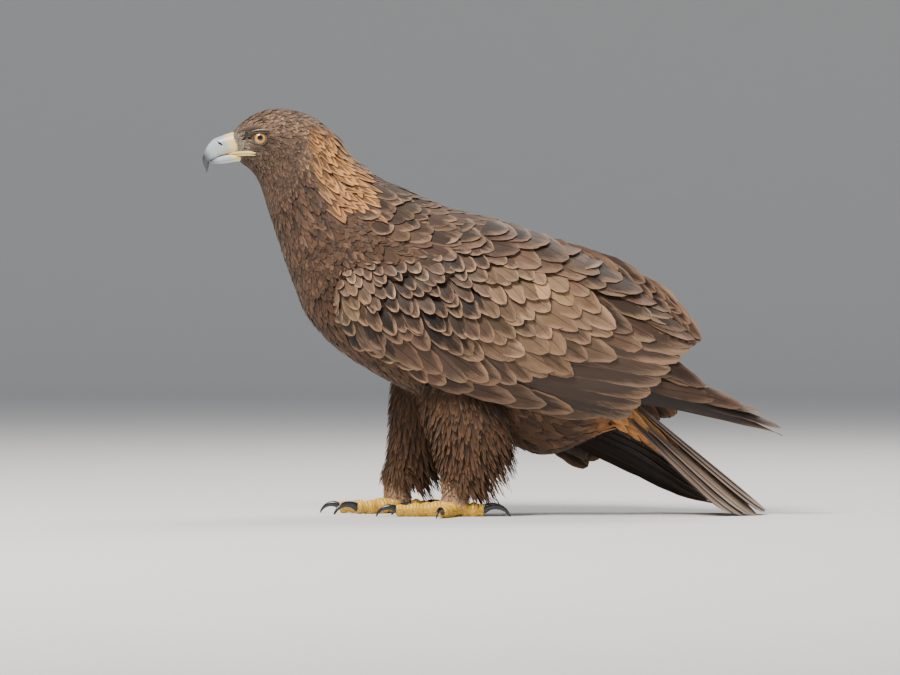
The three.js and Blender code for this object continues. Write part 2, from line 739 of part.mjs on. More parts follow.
// [share of the way from the knee to the ankle, half length, half width, how far its middle lies behind]
const THIGH = [
  [-0.18, 46, 28, 8],
  [0.05, 54, 32, 16],
  [0.3, 56, 32, 22],
  [0.6, 50, 29, 22],
  [0.85, 38, 24, 15],
  [1, 27, 20, 6],
];
// [share of the way from the ankle to the foot, half length, half width]
const SHANK = [[0, 24, 18.5], [0.35, 22, 17], [0.75, 20, 16], [1, 21, 17]];
const SHANK_TOP = 58;
const SHANK_FOOT = 17;
const ANKLE_CUT = 18; // height where the feathered leg ends and the foot begins
const LEG_SIDES = 14;

function legRing(x, y, z, long, wide) {
  return turns(LEG_SIDES).map(
    (a) => new THREE.Vector3(x + long * Math.cos(a), y + wide * Math.sin(a), z),
  );
}

// Loose feathers that hang from the thigh. Those behind the leg are longer, stand further off and sway
// back.
const LOOSE = { length: 34, longer: 8, uneven: 4, width: 22, sunk: 4, off: 1.5, offBehind: 5, sway: 10 };
const LOOSE_ROWS = [
  { share: 0.72, count: 6, offset: 0.5 },
  { share: 0.9, count: 7, offset: 0 },
];

function looseFeather(leg, { share, turn, length }) {
  const [kx, ky, kz] = leg.knee;
  const [ax, ay, az] = leg.ankle;
  const [t, long, wide, behind] = rowAt(THIGH, share * (THIGH.length - 1));
  const rear = (Math.cos(turn) + 1) / 2;
  const outward = new THREE.Vector3(Math.cos(turn), Math.sin(turn), 0);
  const across = new THREE.Vector3(-Math.sin(turn), Math.cos(turn), 0);
  const start = new THREE.Vector3(
    mix(kx, ax, t) + behind + long * Math.cos(turn),
    mix(ky, ay, t) + wide * Math.sin(turn),
    mix(kz, az, t),
  );
  return vane((u, s) => {
    const point = start
      .clone()
      .addScaledVector(outward, mix(-LOOSE.sunk, LOOSE.off + LOOSE.offBehind * rear, u) - s * s)
      .addScaledVector(across, (s * LOOSE.width) / 2)
      .add(new THREE.Vector3(LOOSE.sway * rear * u * u, 0, -length * u));
    return { point, normal: outward };
  }, POINTED_VANE);
}

function looseFeathers(leg) {
  return LOOSE_ROWS.flatMap(({ share, count, offset }) =>
    Array.from({ length: count }, (_, i) => {
      const turn = ((i + offset) / count) * 2 * Math.PI;
      const length = LOOSE.length + LOOSE.longer * Math.cos(turn) + LOOSE.uneven * Math.sin(i * 2.1);
      return looseFeather(leg, { share, turn, length });
    }),
  );
}

function makeLeg(name, body) {
  const leg = LEGS[name];
  const [kx, ky, kz] = leg.knee;
  const [ax, ay, az] = leg.ankle;
  const rings = THIGH.map(([t, long, wide, behind]) =>
    legRing(mix(kx, ax, t) + behind, mix(ky, ay, t), mix(kz, az, t), long, wide),
  );
  const [fx, fy] = leg.foot;
  const shank = (grow) =>
    tube(
      SHANK.map(([t, long, wide]) => {
        const z = mix(SHANK_TOP + grow, SHANK_FOOT, t);
        return legRing(mix(ax, fx, t), mix(ay, fy, t), z, long + grow, wide + grow);
      }),
    );
  const thigh = fuse([tube(rings), ...looseFeathers(leg)]).subtract(body).subtract(shank(GAP));
  addPart(`thigh_${name}`, thigh, MATERIALS.leg);
  return shank(0);
}

// Toes: from the foot's hub, heading in degrees from straight ahead towards the outer side, length, and
// thickness. Toe 1 points back. Each ends in a claw of its own length along the curve.
const TOES = [
  { number: 1, heading: 176, length: 38, thick: 9.6, claw: 46, clawThick: 5.6 },
  { number: 2, heading: -27, length: 58, thick: 9.2, claw: 44, clawThick: 5.4 },
  { number: 3, heading: 3, length: 74, thick: 9, claw: 34, clawThick: 4.6 },
  { number: 4, heading: 72, length: 50, thick: 8.4, claw: 30, clawThick: 4.2 },
];
const TOE_SIDES = 7;
const CLAW_SIDES = 6;
const CLAW_STEPS = 7;
const TOE = { knuckles: 3, swell: 0.12, thickBase: 1.1, thickEnd: 0.86, tip: 0.72, lieBy: 0.45 };
const HUB_HEIGHT = 13; // of the toes' common root
const PAD = { back: 3, height: 11.5, radii: [19, 16, 12.5], sides: 12 };
const CLAW = { sweep: 118 * DEG, lift: 34 * DEG, raise: 1.2, tip: 0.5, taper: 1.15, narrow: 0.82 };

// A ring of a bent tube, square to the way it heads.
function tubeRing(centre, heading, across, half, tall, sides) {
  const up = new THREE.Vector3().crossVectors(across, heading).normalize();
  if (up.z < 0) up.negate();
  return turns(sides).map((a) =>
    centre
      .clone()
      .addScaledVector(across, half * Math.cos(a))
      .addScaledVector(up, tall * Math.sin(a)),
  );
}

// A toe swells at its joints and comes down to lie on the ground.
function toe(start, heading, spec) {
  const ahead = new THREE.Vector3(-Math.cos(heading), Math.sin(heading), 0);
  const across = new THREE.Vector3(-ahead.y, ahead.x, 0);
  const rings = [];
  const end = new THREE.Vector3();
  const steps = TOE.knuckles * 2;
  for (let i = 0; i <= steps; i++) {
    const t = i / steps;
    const swell = 1 + TOE.swell * Math.cos(t * TOE.knuckles * 2 * Math.PI);
    const taper = mix(TOE.thickBase, TOE.thickEnd, t) * (i === steps ? TOE.tip : 1);
    const radius = spec.thick * swell * taper;
    end.copy(start).addScaledVector(ahead, spec.length * t);
    end.z = mix(start.z, spec.thick * TOE.thickEnd, Math.min(1, t / TOE.lieBy));
    rings.push(tubeRing(end, ahead, across, radius, radius, TOE_SIDES));
  }
  return { solid: tube(rings), end, ahead, across };
}

// A claw is a tapered tube bent through a part of a circle, up from the toe's end and down to the ground.
function claw(toeEnd, ahead, across, spec) {
  const radius = spec.claw / CLAW.sweep;
  const rings = [];
  const base = toeEnd.clone().addScaledVector(ahead, GAP);
  for (let i = 0; i <= CLAW_STEPS; i++) {
    const t = i / CLAW_STEPS;
    const turned = CLAW.lift - CLAW.sweep * t;
    const run = radius * (Math.sin(CLAW.lift) - Math.sin(turned));
    const rise = radius * (Math.cos(turned) - Math.cos(CLAW.lift));
    const centre = base.clone().addScaledVector(ahead, run);
    centre.z += rise + CLAW.raise;
    const heading = ahead.clone().multiplyScalar(Math.cos(turned));
    heading.z += Math.sin(turned);
    const thick = mix(spec.clawThick, CLAW.tip, t ** CLAW.taper);
    rings.push(tubeRing(centre, heading, across, thick * CLAW.narrow, thick, CLAW_SIDES));
  }
  return tube(rings);
}

function makeFoot(name, shank) {
  const { side, foot } = LEGS[name];
  const [fx, fy] = foot;
  const hub = new THREE.Vector3(fx, fy, HUB_HEIGHT);
  const padCentre = new THREE.Vector3(fx - PAD.back, fy, PAD.height);
  const parts = [ellipsoid(padCentre, PAD.radii, undefined, PAD.sides)];
  const claws = [];
  for (const spec of TOES) {
    const made = toe(hub, spec.heading * DEG * side, spec);
    parts.push(made.solid);
    claws.push([spec.number, claw(made.end, made.ahead, made.across, spec)]);
  }
  const whole = fuse(parts);
  const footSolid = whole.trimByPlane([0, 0, 1], 0).trimByPlane([0, 0, -1], GAP / 2 - ANKLE_CUT);
  addPart(`foot_${name}`, footSolid, MATERIALS.toe);
  addPart(`shank_${name}`, shank.trimByPlane([0, 0, 1], ANKLE_CUT + GAP / 2), MATERIALS.leg);
  for (const [number, solid] of claws) {
    addPart(`claw_${name}_${number}`, solid.subtract(whole).trimByPlane([0, 0, 1], 0), MATERIALS.claw);
  }
}

const body = sectionLoft(BODY_ROWS, BODY_STEPS, BODY_SIDES, 0, { full: CROWN_FULLNESS });
const bodyGrown = sectionLoft(BODY_ROWS, BODY_STEPS, BODY_SIDES, BODY_GAP, { full: CROWN_FULLNESS });

makeHead(body);
const neck = cutAt(cutAt(fuse([body, ...bodyRows(HACKLES)]), "occiput", 1), "mantle", -1);
addPart("neck", neck, MATERIALS.nape);
const torso = fuse([body, ...bodyRows(MANTLE)]);
addPart("torso", cutAt(cutAt(torso, "mantle", 1), "tail_root", -1), MATERIALS.plumage);
makeTail();
makeWing(LEFT, bodyGrown);
makeWing(RIGHT, bodyGrown);
for (const name of Object.keys(LEGS)) makeFoot(name, makeLeg(name, bodyGrown));

// The origin is under the middle of the whole bird, on the ground.
const box = new THREE.Box3().setFromObject(eagle);
eagle.position.set(-(box.min.x + box.max.x) / 2, -(box.min.y + box.max.y) / 2, -box.min.z);
eagle.updateMatrixWorld(true);

export default eagle;
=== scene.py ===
"""A golden eagle standing on level ground: skin, feathers, bill, eyes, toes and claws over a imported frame."""

import math

import bmesh
import bpy
import numpy as np
from mathutils import Euler, Matrix, Vector


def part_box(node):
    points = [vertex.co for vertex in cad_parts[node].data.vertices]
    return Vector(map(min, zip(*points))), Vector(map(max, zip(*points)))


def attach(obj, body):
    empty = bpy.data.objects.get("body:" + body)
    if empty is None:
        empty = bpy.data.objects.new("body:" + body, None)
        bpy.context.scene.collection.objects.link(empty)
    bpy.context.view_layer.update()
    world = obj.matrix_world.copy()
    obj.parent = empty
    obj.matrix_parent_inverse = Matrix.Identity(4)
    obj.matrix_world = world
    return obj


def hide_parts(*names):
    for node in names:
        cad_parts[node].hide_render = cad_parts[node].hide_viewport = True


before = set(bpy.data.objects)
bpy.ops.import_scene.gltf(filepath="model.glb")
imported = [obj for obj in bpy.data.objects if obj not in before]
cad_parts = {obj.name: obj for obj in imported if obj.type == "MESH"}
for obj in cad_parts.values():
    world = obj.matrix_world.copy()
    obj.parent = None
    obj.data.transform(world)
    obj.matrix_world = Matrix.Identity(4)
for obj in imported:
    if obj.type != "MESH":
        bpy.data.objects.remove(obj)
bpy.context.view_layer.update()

bl_info = {
    "name": "Golden Eagle Builder",
    "version": (1, 0, 0),
    "blender": (4, 5, 0),
    "location": "View3D > Sidebar > Eagle",
    "description": "Builds a life-size golden eagle with feathers in tiers, and a plain studio round it",
    "category": "Add Mesh",
}

DEG = math.pi / 180
MM = 0.001
LEFT, RIGHT = -1, 1
SIDES = ((LEFT, "left"), (RIGHT, "right"))
BODY = "root"

# Sizes of the bird in millimetres, in the frame of its own drawing: it faces -X, and z is height over ground.

# Body sections from the face to the tail root: under x, under z, over x, over z, half width.
SECTIONS = np.array([
    [-256, 455, -262, 489, 13],
    [-248, 449, -249, 502.5, 22],
    [-240, 443, -232, 513.5, 31],
    [-232, 434, -209, 519.5, 36],
    [-226, 423, -182, 517, 39],
    [-221, 409, -154, 506, 40],
    [-216, 393, -131, 485, 42],
    [-210, 374, -114, 460, 47],
    [-203, 352, -87, 439, 56],
    [-194, 326, -52, 420, 68],
    [-182, 294, -14, 402, 80],
    [-164, 252, 19, 389, 89],
    [-122, 209, 64, 375, 94],
    [-52, 167, 127, 349, 92],
    [20, 134, 188, 306, 82],
    [88, 94, 226, 254, 64],
    [142, 78, 250, 216, 46],
    [200, 100, 268, 184, 30],
], dtype=float)
# How much wider a section is over its middle than under it.
CROWN_FULLNESS = 0.1

# Folded left wing from its front to the tip: bottom x, bottom z, top x, top z, half width.
WING = np.array([
    [-131.5, 285, -130, 297, 68],
    [-124, 255, -115, 330, 82],
    [-102, 225, -79, 354, 94],
    [-61, 196, -26, 371, 102],
    [0, 168, 38, 379, 106],
    [77, 148, 109, 364, 105],
    [154, 134, 179, 332, 98],
    [218, 131, 250, 290, 87],
    [269, 130, 314, 236, 74],
    [333, 119, 358, 178, 61],
    [390, 105, 407, 149, 50],
    [446, 90, 451, 116, 42],
], dtype=float)
# Where the wing's bottom and top edges lie round its sections.
WING_LOW = -38 * DEG
WING_HIGH = 82 * DEG
# How the right wing hangs: the point that it turns about, how far it turns and spreads, the x over which it
# bends, the height at which it starts to level out and the height that its lowest vanes keep.
SHOULDER = (-70.0, 300.0)
RIGHT_DROOP = 14 * DEG
RIGHT_SPREAD = 20.0
DROOP_FROM, DROOP_TO = -60.0, 260.0
GROUND_EASE, GROUND_CLEAR = 34.0, 1.0

# The eye's place in the head, with y as its distance from the middle, its ball, how far its gaze lies off the
# ball's middle, and where the pupil, the iris and the dark rim round it end.
EYE = (-225.2, 27.2, 480.8)
EYE_RADIUS = 10.8
GAZE = (0.6, 0.5)
PUPIL_EDGE, IRIS_EDGE, RIM_EDGE = (3.5, 3.9), (5.6, 7.8), (7.8, 8.6)
# How near to the eye's middle the feathers come, and the ring of the lids: its radius, how far out it lies and
# leans, how much it is flattened above and below, and how thick it is.
BARE_ROUND_EYE = 12.2
LID = {"radius": 8.8, "out": 6.7, "lean": 0.5, "above": 0.80, "below": 0.95, "thick": 0.95, "swell": 0.3}
# The brow in the side view: the line under it, along which a dark tube is painted as the brow's shadow, how
# far above that the ridge lies, and how thick the two are from front to back.
BROW_UNDER = np.array([[-246, 482.8], [-240, 485.6], [-233.5, 487.6], [-226.5, 488.6], [-219.5, 489.0],
                       [-212, 488.8]])
BROW_RISE = np.array([[-0.5, 2.0], [0, 2.3], [0, 2.6], [0, 2.7], [0, 2.6], [0, 2.2]])
BROW_THICK, BROW_SHADOW_THICK = [0.2, 0.8, 1.1, 1.2, 0.9, 0.2], [0.3, 1.2, 1.7, 1.5, 1.1, 0.2]
# Swellings of the skin beside each eye: centre, half sizes and turn in degrees, for the right side.
FACE_SWELLINGS = (
    ((-235, 28.5, 493.6), (16, 6.5, 4.2), (0, -10, -14)),
    ((-209, 33.5, 487), (9, 3.6, 7), (0, 0, 0)),
    ((-228, 29, 469.5), (12, 6.5, 4.5), (0, 6, 0)),
)

# Sections of the two halves of the bill from its base to its tip, in the order of the body's.
BILL_UPPER = np.array([
    [-246, 462, -255, 492, 13.6],
    [-257, 462.5, -265, 489, 12.8],
    [-267.5, 462, -275.5, 485.4, 11.2],
    [-276.5, 459.5, -287, 480.3, 9.2],
    [-285, 454.6, -295.2, 469.8, 7],
    [-290.2, 452, -300, 458.2, 5],
    [-291.8, 448, -299.2, 449.6, 3.3],
    [-292.8, 443, -296.8, 443.4, 1.9],
    [-294.3, 438.4, -295.3, 438.2, 0.7],
], dtype=float)
BILL_LOWER = np.array([
    [-244, 453, -244, 462.5, 12],
    [-256, 452.6, -256, 462, 10.8],
    [-267, 450.8, -267, 461.4, 9.4],
    [-279, 449.6, -279, 458.6, 7],
    [-286.5, 450, -286.5, 454.6, 5],
    [-289.3, 451.2, -289.3, 452.8, 3.4],
], dtype=float)
# The power that flattens the sides of the bill where its halves meet.
BILL_FLATNESS = 0.45
NOSTRIL = {"x": -277.5, "y": 11.6, "z": 475.0, "size": (4.4, 3.2, 1.2), "turn": 35 * DEG}
# Places in the side view of the bill: where its dark tip, its grey ridge and its cere start, and the height
# of the cut between its halves.
TIP_START, RIDGE_START, CERE_START = (-285.0, 460.0), (-268.0, 485.5), (-276.0, 478.0)
GAPE_LEVEL = 462.2
# The gape's two folds of yellow skin: the upper one in the side view, the step down to the other, and how
# thick the two are from front to back.
GAPE_PATH = np.array([[-266, 462.6], [-258, 463.0], [-250, 463.4], [-242, 463.4], [-236, 463.0],
                      [-230.5, 462.2]])
GAPE_STEP = 2.8
GAPE_UPPER, GAPE_LOWER = [1.2, 1.5, 1.7, 1.8, 1.6, 0.6], [1.0, 1.3, 1.5, 1.5, 1.2, 0.4]

# Edges of the golden nape in the side view: x at a height, how far x runs back with each millimetre down, and
# how far the colour fades before and behind. Then the heights between which it fades above and below.
NAPE_FRONT = {"x": -175.36, "z": 492.8, "lean": 0.34, "fade": (11.52, 11.52)}
NAPE_BACK = {"x": -120.32, "z": 467.2, "lean": 0.30, "fade": (10.24, 17.92)}
NAPE_TOP, NAPE_END = (480.0, 513.28), (382.72, 408.32)
# Where the cheek, the lores and the rusty vent fade, in x and in z.
CHEEK_X, CHEEK_Z = (-194.56, -162.56), (477.44, 497.92)
LORES_X, LORES_TOP, LORES_END = (-252.16, -229.12), (482.56, 495.36), (456.96, 467.2)
VENT_X, VENT_Z = (157.44, 208.64), (131.84, 152.32)

# Where the feet stand, x and y, and where the knees and the ankles are.
LEGS = {
    "left": {"side": LEFT, "foot": (22, -46), "knee": (16, -42, 150), "ankle": (26, -45, 52)},
    "right": {"side": RIGHT, "foot": (-52, 46), "knee": (-22, 42, 168), "ankle": (-50, 46, 58)},
}
# Share of the way from the knee to the ankle, half length, half width, how far its middle lies behind.
THIGH = np.array([
    [-0.18, 46, 28, 8],
    [0.05, 54, 32, 16],
    [0.3, 56, 32, 22],
    [0.6, 49, 28, 22],
    [0.85, 35, 22, 13],
    [1, 25, 18, 4],
], dtype=float)
# Share of the way from the top of the shank to the foot, half length, half width.
SHANK = np.array([[0, 24, 18.5], [0.35, 22, 17], [0.75, 20, 16], [1, 21, 17]], dtype=float)
SHANK_TOP, SHANK_FOOT = 72.0, 17.0
# The lowest that a feather of the legs hangs.
LEAST_HEIGHT = 9.0

# Each toe with its heading in degrees from straight ahead, towards the bird's middle where it's below nought.
TOES = {
    1: {"heading": 176, "length": 38, "thick": 9.6, "claw": 46, "claw_thick": 5.6},
    2: {"heading": -27, "length": 58, "thick": 9.2, "claw": 44, "claw_thick": 5.4},
    3: {"heading": 3, "length": 74, "thick": 9, "claw": 34, "claw_thick": 4.6},
    4: {"heading": 72, "length": 50, "thick": 8.4, "claw": 30, "claw_thick": 4.2},
}

# The length of one plate of a toe's skin, and the way up.
SCUTE_LENGTH = 4.4
UP = np.array([0, 0, 1.0])

# The folded tail: where it starts, how steeply it falls, its feathers' length and width, how far each pair
# lies outside and under the one before, how far they tilt, and how many steps down each pair lies.
TAIL = {"root": (214, 0, 176), "fall": 39.5 * DEG, "pairs": 6, "length": 268, "width": 42, "spread": 5.6,
        "drop": 4.4, "tilt": 26 * DEG, "steps": (0, 0.5, 2.3, 2.8, 4.1, 5.1), "rim": (0.45, 0.36, 0.29)}
TAIL_ALONG = np.array([math.cos(TAIL["fall"]), 0, -math.sin(TAIL["fall"])])
TAIL_UP = np.array([math.sin(TAIL["fall"]), 0, math.cos(TAIL["fall"])])
# Rings of feathers round the tail's base: how far along the tail each starts, and how many it has.
TAIL_COVERT_RINGS = ((-40, 26), (-22, 26), (-4, 26), (14, 24), (32, 20), (50, 16))

# The studio in metres: how far the floor reaches, the radius of its bend up to the backdrop and the degrees
# that it bends through.
FLOOR_REACH, FLOOR_BEND, FLOOR_TURN = 7.0, 3.0, 80
# The picture's width at the bird's middle, the lens's sensor in millimetres, the place of the drawing that
# the camera looks at, how far over it the camera stands, and the place that the lamps face.
FRAME_WIDTH, SENSOR_WIDTH = 1.152, 36.0
CAMERA_AIM, CAMERA_RISE, LIGHT_AIM = (16.6, 0, 227.2), 0.06, (0, 0, 0.25)
LIGHTS = {
    "key": {"place": (-1.3, -1.7, 3.0), "size": 1.3, "power": 215.0, "colour": (1.0, 0.95, 0.89)},
    "fill": {"place": (2.2, -2.6, 1.2), "size": 2.6, "power": 18.0, "colour": (0.95, 0.97, 1.0)},
    "rim": {"place": (0.8, 1.6, 2.6), "size": 1.6, "power": 60.0, "colour": (1.0, 0.98, 0.95)},
}
SKY, SKY_STRENGTH = (0.80, 0.86, 0.95, 1.0), 0.3

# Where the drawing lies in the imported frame, from the left eye's own box.
EYE_LOW, EYE_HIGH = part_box("eye_left")
SHIFT = np.array([
    (EYE_LOW[0] + EYE_HIGH[0]) / 2 / MM - EYE[0],
    (EYE_LOW[1] + EYE_HIGH[1]) / 2 / MM + EYE[1],
    (EYE_LOW[2] + EYE_HIGH[2]) / 2 / MM - EYE[2],
])
rng = np.random.default_rng(20260)


def metres(points):
    """Points of the drawing, in millimetres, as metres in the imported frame."""
    return (np.asarray(points, dtype=float) + SHIFT) * MM


# Settings


class EAGLE_PG_sizes(bpy.types.PropertyGroup):
    """Sizes of the eagle's coat."""

    skin_depth: bpy.props.FloatProperty(
        name="Skin Depth", description="Depth of the skin under the feathers' outline", default=0.0035,
        unit="LENGTH")
    skin_voxel: bpy.props.FloatProperty(
        name="Skin Voxel", description="Cell size of the skin's mesh", default=0.0024, unit="LENGTH")
    toe_voxel: bpy.props.FloatProperty(
        name="Toe Voxel", description="Cell size of the toes' mesh", default=0.0011, unit="LENGTH")
    body_feather: bpy.props.FloatProperty(
        name="Body Feather", description="Length of a breast feather", default=0.030, unit="LENGTH")
    head_feather: bpy.props.FloatProperty(
        name="Head Feather", description="Length of a crown feather", default=0.011, unit="LENGTH")
    hackle: bpy.props.FloatProperty(
        name="Hackle", description="Length of a nape hackle", default=0.032, unit="LENGTH")
    vane_thickness: bpy.props.FloatProperty(
        name="Vane Thickness", description="Thickness of a flight feather", default=0.0009, unit="LENGTH")
    camera_distance: bpy.props.FloatProperty(
        name="Camera Distance", description="How far the camera stands from the eagle", default=6.0,
        unit="LENGTH")


def colour_property(name, description, default):
    """A colour setting."""
    return bpy.props.FloatVectorProperty(
        name=name, description=description, default=default, subtype="COLOR", size=3, min=0, max=1)


class EAGLE_PG_colours(bpy.types.PropertyGroup):
    """Colours of the eagle."""

    umber: colour_property("Umber", "Dark brown of the body feathers", (0.030, 0.019, 0.014))
    chestnut: colour_property("Chestnut", "Warm brown of the breast and legs", (0.100, 0.054, 0.031))
    covert: colour_property("Covert", "Brown middle of a wing covert", (0.080, 0.047, 0.031))
    edge: colour_property("Edge", "Pale edge of a wing covert", (0.44, 0.27, 0.165))
    bleached: colour_property("Bleached", "Worn tan of the oldest coverts", (0.47, 0.28, 0.155))
    gold: colour_property("Gold", "Golden buff of the nape", (0.56, 0.26, 0.085))
    rust: colour_property("Rust", "Rusty buff of the under tail coverts", (0.34, 0.15, 0.05))
    flight: colour_property("Flight", "Blackish brown of the primaries", (0.030, 0.023, 0.020))
    tail: colour_property("Tail", "Grey brown of the tail", (0.17, 0.125, 0.098))
    horn: colour_property("Horn", "Grey base of the bill", (0.42, 0.49, 0.51))
    tip: colour_property("Tip", "Dark tip of the bill", (0.050, 0.052, 0.060))
    cere: colour_property("Cere", "Yellow skin at the bill's base and gape", (0.80, 0.62, 0.24))
    toe: colour_property("Toe", "Yellow scaled skin of the toes", (0.90, 0.52, 0.06))
    iris: colour_property("Iris", "Amber iris", (0.55, 0.24, 0.028))
    claw: colour_property("Claw", "Black horn of the claws", (0.012, 0.012, 0.014))
    floor: colour_property("Floor", "Pale floor and backdrop", (0.78, 0.77, 0.75))


def sizes():
    """The size settings."""
    return bpy.context.scene.eagle_sizes


def colours():
    """The colour settings."""
    return bpy.context.scene.eagle_colours


# Materials


class Value:
    """A shader socket on which arithmetic adds Math nodes."""

    def __init__(self, shader, socket):
        self.shader = shader
        self.socket = socket

    def math(self, operation, *inputs):
        """A Math node."""
        return self.shader.node("ShaderNodeMath", {"operation": operation}, dict(enumerate(inputs)))

    def __add__(self, other):
        return self.math("ADD", self, other)

    def __sub__(self, other):
        return self.math("SUBTRACT", self, other)

    def __rsub__(self, other):
        return self.math("SUBTRACT", other, self)

    def __mul__(self, other):
        return self.math("MULTIPLY", self, other)

    def __pow__(self, other):
        return self.math("POWER", self, other)

    __radd__ = __add__
    __rmul__ = __mul__

    def absolute(self):
        """The value without its sign."""
        return self.math("ABSOLUTE", self)

    def within(self, low, high):
        """0 below low and 1 above high, with a smooth step between."""
        inputs = {"Value": self, "From Min": low, "From Max": high}
        return self.shader.node("ShaderNodeMapRange", {"interpolation_type": "SMOOTHSTEP"}, inputs)


class Shader:
    """A material under construction."""

    def __init__(self, name):
        self.material = bpy.data.materials.new(name)
        self.material.use_nodes = True
        self.tree = self.material.node_tree
        self.tree.nodes.clear()

    def node(self, kind, settings=None, inputs=None, output=0):
        """Adds a node; an input is a value of this shader or a plain one."""
        made = self.tree.nodes.new(kind)
        for key, value in (settings or {}).items():
            setattr(made, key, value)
        for key, value in (inputs or {}).items():
            if isinstance(value, Value):
                self.tree.links.new(value.socket, made.inputs[key])
            else:
                made.inputs[key].default_value = value
        return Value(self, made.outputs[output]) if made.outputs else None

    def attribute(self, name, output):
        """An attribute that a mesh stores."""
        return self.node("ShaderNodeAttribute", {"attribute_name": name}, output=output)

    def place(self):
        """Where the surface lies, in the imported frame."""
        return self.node("ShaderNodeTexCoord", output="Object")

    def parts(self, vector):
        """The three numbers of a vector."""
        outputs = self.node("ShaderNodeSeparateXYZ", inputs={0: vector}).socket.node.outputs
        return [Value(self, socket) for socket in outputs]

    def vector(self, x, y, z):
        """A vector of three values."""
        return self.node("ShaderNodeCombineXYZ", inputs={0: x, 1: y, 2: z})

    def noise(self, vector, scale, detail=2.0, rough=0.5):
        """Soft random patches."""
        inputs = {"Vector": vector, "Scale": scale, "Detail": detail, "Roughness": rough}
        return self.node("ShaderNodeTexNoise", inputs=inputs, output="Fac")

    def mix(self, factor, a, b):
        """One colour going over into another; each is a value or three numbers."""
        a, b = [c if isinstance(c, Value) else (*c, 1.0) for c in (a, b)]
        settings = {"data_type": "RGBA", "blend_type": "MIX"}
        return self.node("ShaderNodeMix", settings, {0: factor, 6: a, 7: b}, output=2)

    def shade(self, colour, amount):
        """A colour made lighter or darker by a factor that varies over the surface."""
        return self.node("ShaderNodeVectorMath", {"operation": "SCALE"}, {0: colour, "Scale": amount})

    def bump(self, height, strength, distance):
        """Relief from a height."""
        inputs = {"Height": height, "Strength": strength, "Distance": distance}
        return self.node("ShaderNodeBump", inputs=inputs)

    def finish(self, **inputs):
        """Sends the surface to the material's output."""
        names = {key.replace("_", " ").title().replace("Ior", "IOR"): value for key, value in inputs.items()}
        surface = self.node("ShaderNodeBsdfPrincipled", inputs=names)
        self.node("ShaderNodeOutputMaterial", inputs={0: surface})
        return self.material


# Looks of the vanes: where along them the rim's colour starts and is full, how strongly the barbs show, how
# rough and how downy they are, and how much darker the shaft is, or lighter where it's below nought.
VANE_LOOKS = {
    "head_feather": {"rim": (0.3, 1.1), "barbs": 0.45, "rough": 0.75, "sheen": 0.04, "shaft": 0.15},
    "hackle": {"rim": (0.2, 0.72), "barbs": 0.5, "rough": 0.7, "sheen": 0.04, "shaft": 0.25},
    "body_feather": {"rim": (0.45, 1.0), "barbs": 0.6, "rough": 0.8, "sheen": 0.04, "shaft": 0.3},
    "wing_covert": {"rim": (0.34, 1.15), "barbs": 0.55, "rough": 0.62, "sheen": 0.0, "shaft": 0.45},
    "flight_feather": {"rim": (0.55, 1.2), "barbs": 0.5, "rough": 0.46, "sheen": 0.03, "shaft": -0.6},
    "tail_feather": {"rim": (0.55, 1.05), "barbs": 0.4, "rough": 0.6, "sheen": 0.03, "shaft": -0.9},
    "tail_covert": {"rim": (0.3, 0.9), "barbs": 0.6, "rough": 0.8, "sheen": 0.04, "shaft": 0.2},
    "leg_feather": {"rim": (0.4, 1.0), "barbs": 0.6, "rough": 0.85, "sheen": 0.04, "shaft": 0.15},
}


def feather_material(name):
    """Barbs that run out from a shaft, with a ground and a rim colour, all from the vane's own attributes."""
    look = VANE_LOOKS[name]
    sh = Shader(name)
    along, across, chance = sh.parts(sh.attribute("vane", "Vector"))
    side = across.absolute()
    ground = sh.attribute("ground", "Color")
    rim = sh.attribute("rim", "Color")
    barb_line = along * 26.0 - side * 7.0
    barbs = sh.noise(sh.vector(barb_line, chance * 91.0, side * 1.2), 3.0, 3.0, 0.65)
    cloud = sh.noise(sh.vector(along * 2.0, across * 1.5, chance * 57.0), 1.6, 3.0, 0.6)
    reach = (side ** 2.0) * 0.6 + (along ** 3.0) * 0.9 + (cloud - 0.5) * 1.1 + (barbs - 0.5) * 0.35
    shaft_mask = 1.0 - side.within(0.02, 0.085)
    colour = sh.mix(reach.within(*look["rim"]), ground, rim)
    colour = sh.shade(colour, (barbs - 0.5) * look["barbs"] + (cloud - 0.5) * 0.5 + 1.0)
    colour = sh.shade(colour, 1.0 - shaft_mask * look["shaft"])
    rough = (barbs - 0.5) * 0.2 + look["rough"]
    normal = sh.bump(barbs * 0.6 + shaft_mask * 0.8, 0.35, 0.0006)
    return sh.finish(base_color=colour, roughness=rough, normal=normal, sheen_weight=look["sheen"],
                     sheen_roughness=0.5, specular_ior_level=0.22)


def skin_material(name, dark, warm):
    """The down and skin that show only between feathers, and the painted shadow under the brow."""
    sh = Shader(name)
    place = sh.place()
    patch = sh.noise(place, 38.0, 4.0, 0.6)
    fine = sh.noise(place, 420.0, 2.0, 0.6)
    colour = sh.mix(patch.within(0.35, 0.7), dark, warm)
    colour = sh.shade(colour, (fine - 0.5) * 0.7 + 1.0)
    return sh.finish(base_color=colour, roughness=0.85, normal=sh.bump(fine, 0.6, 0.0008), sheen_weight=0.2)


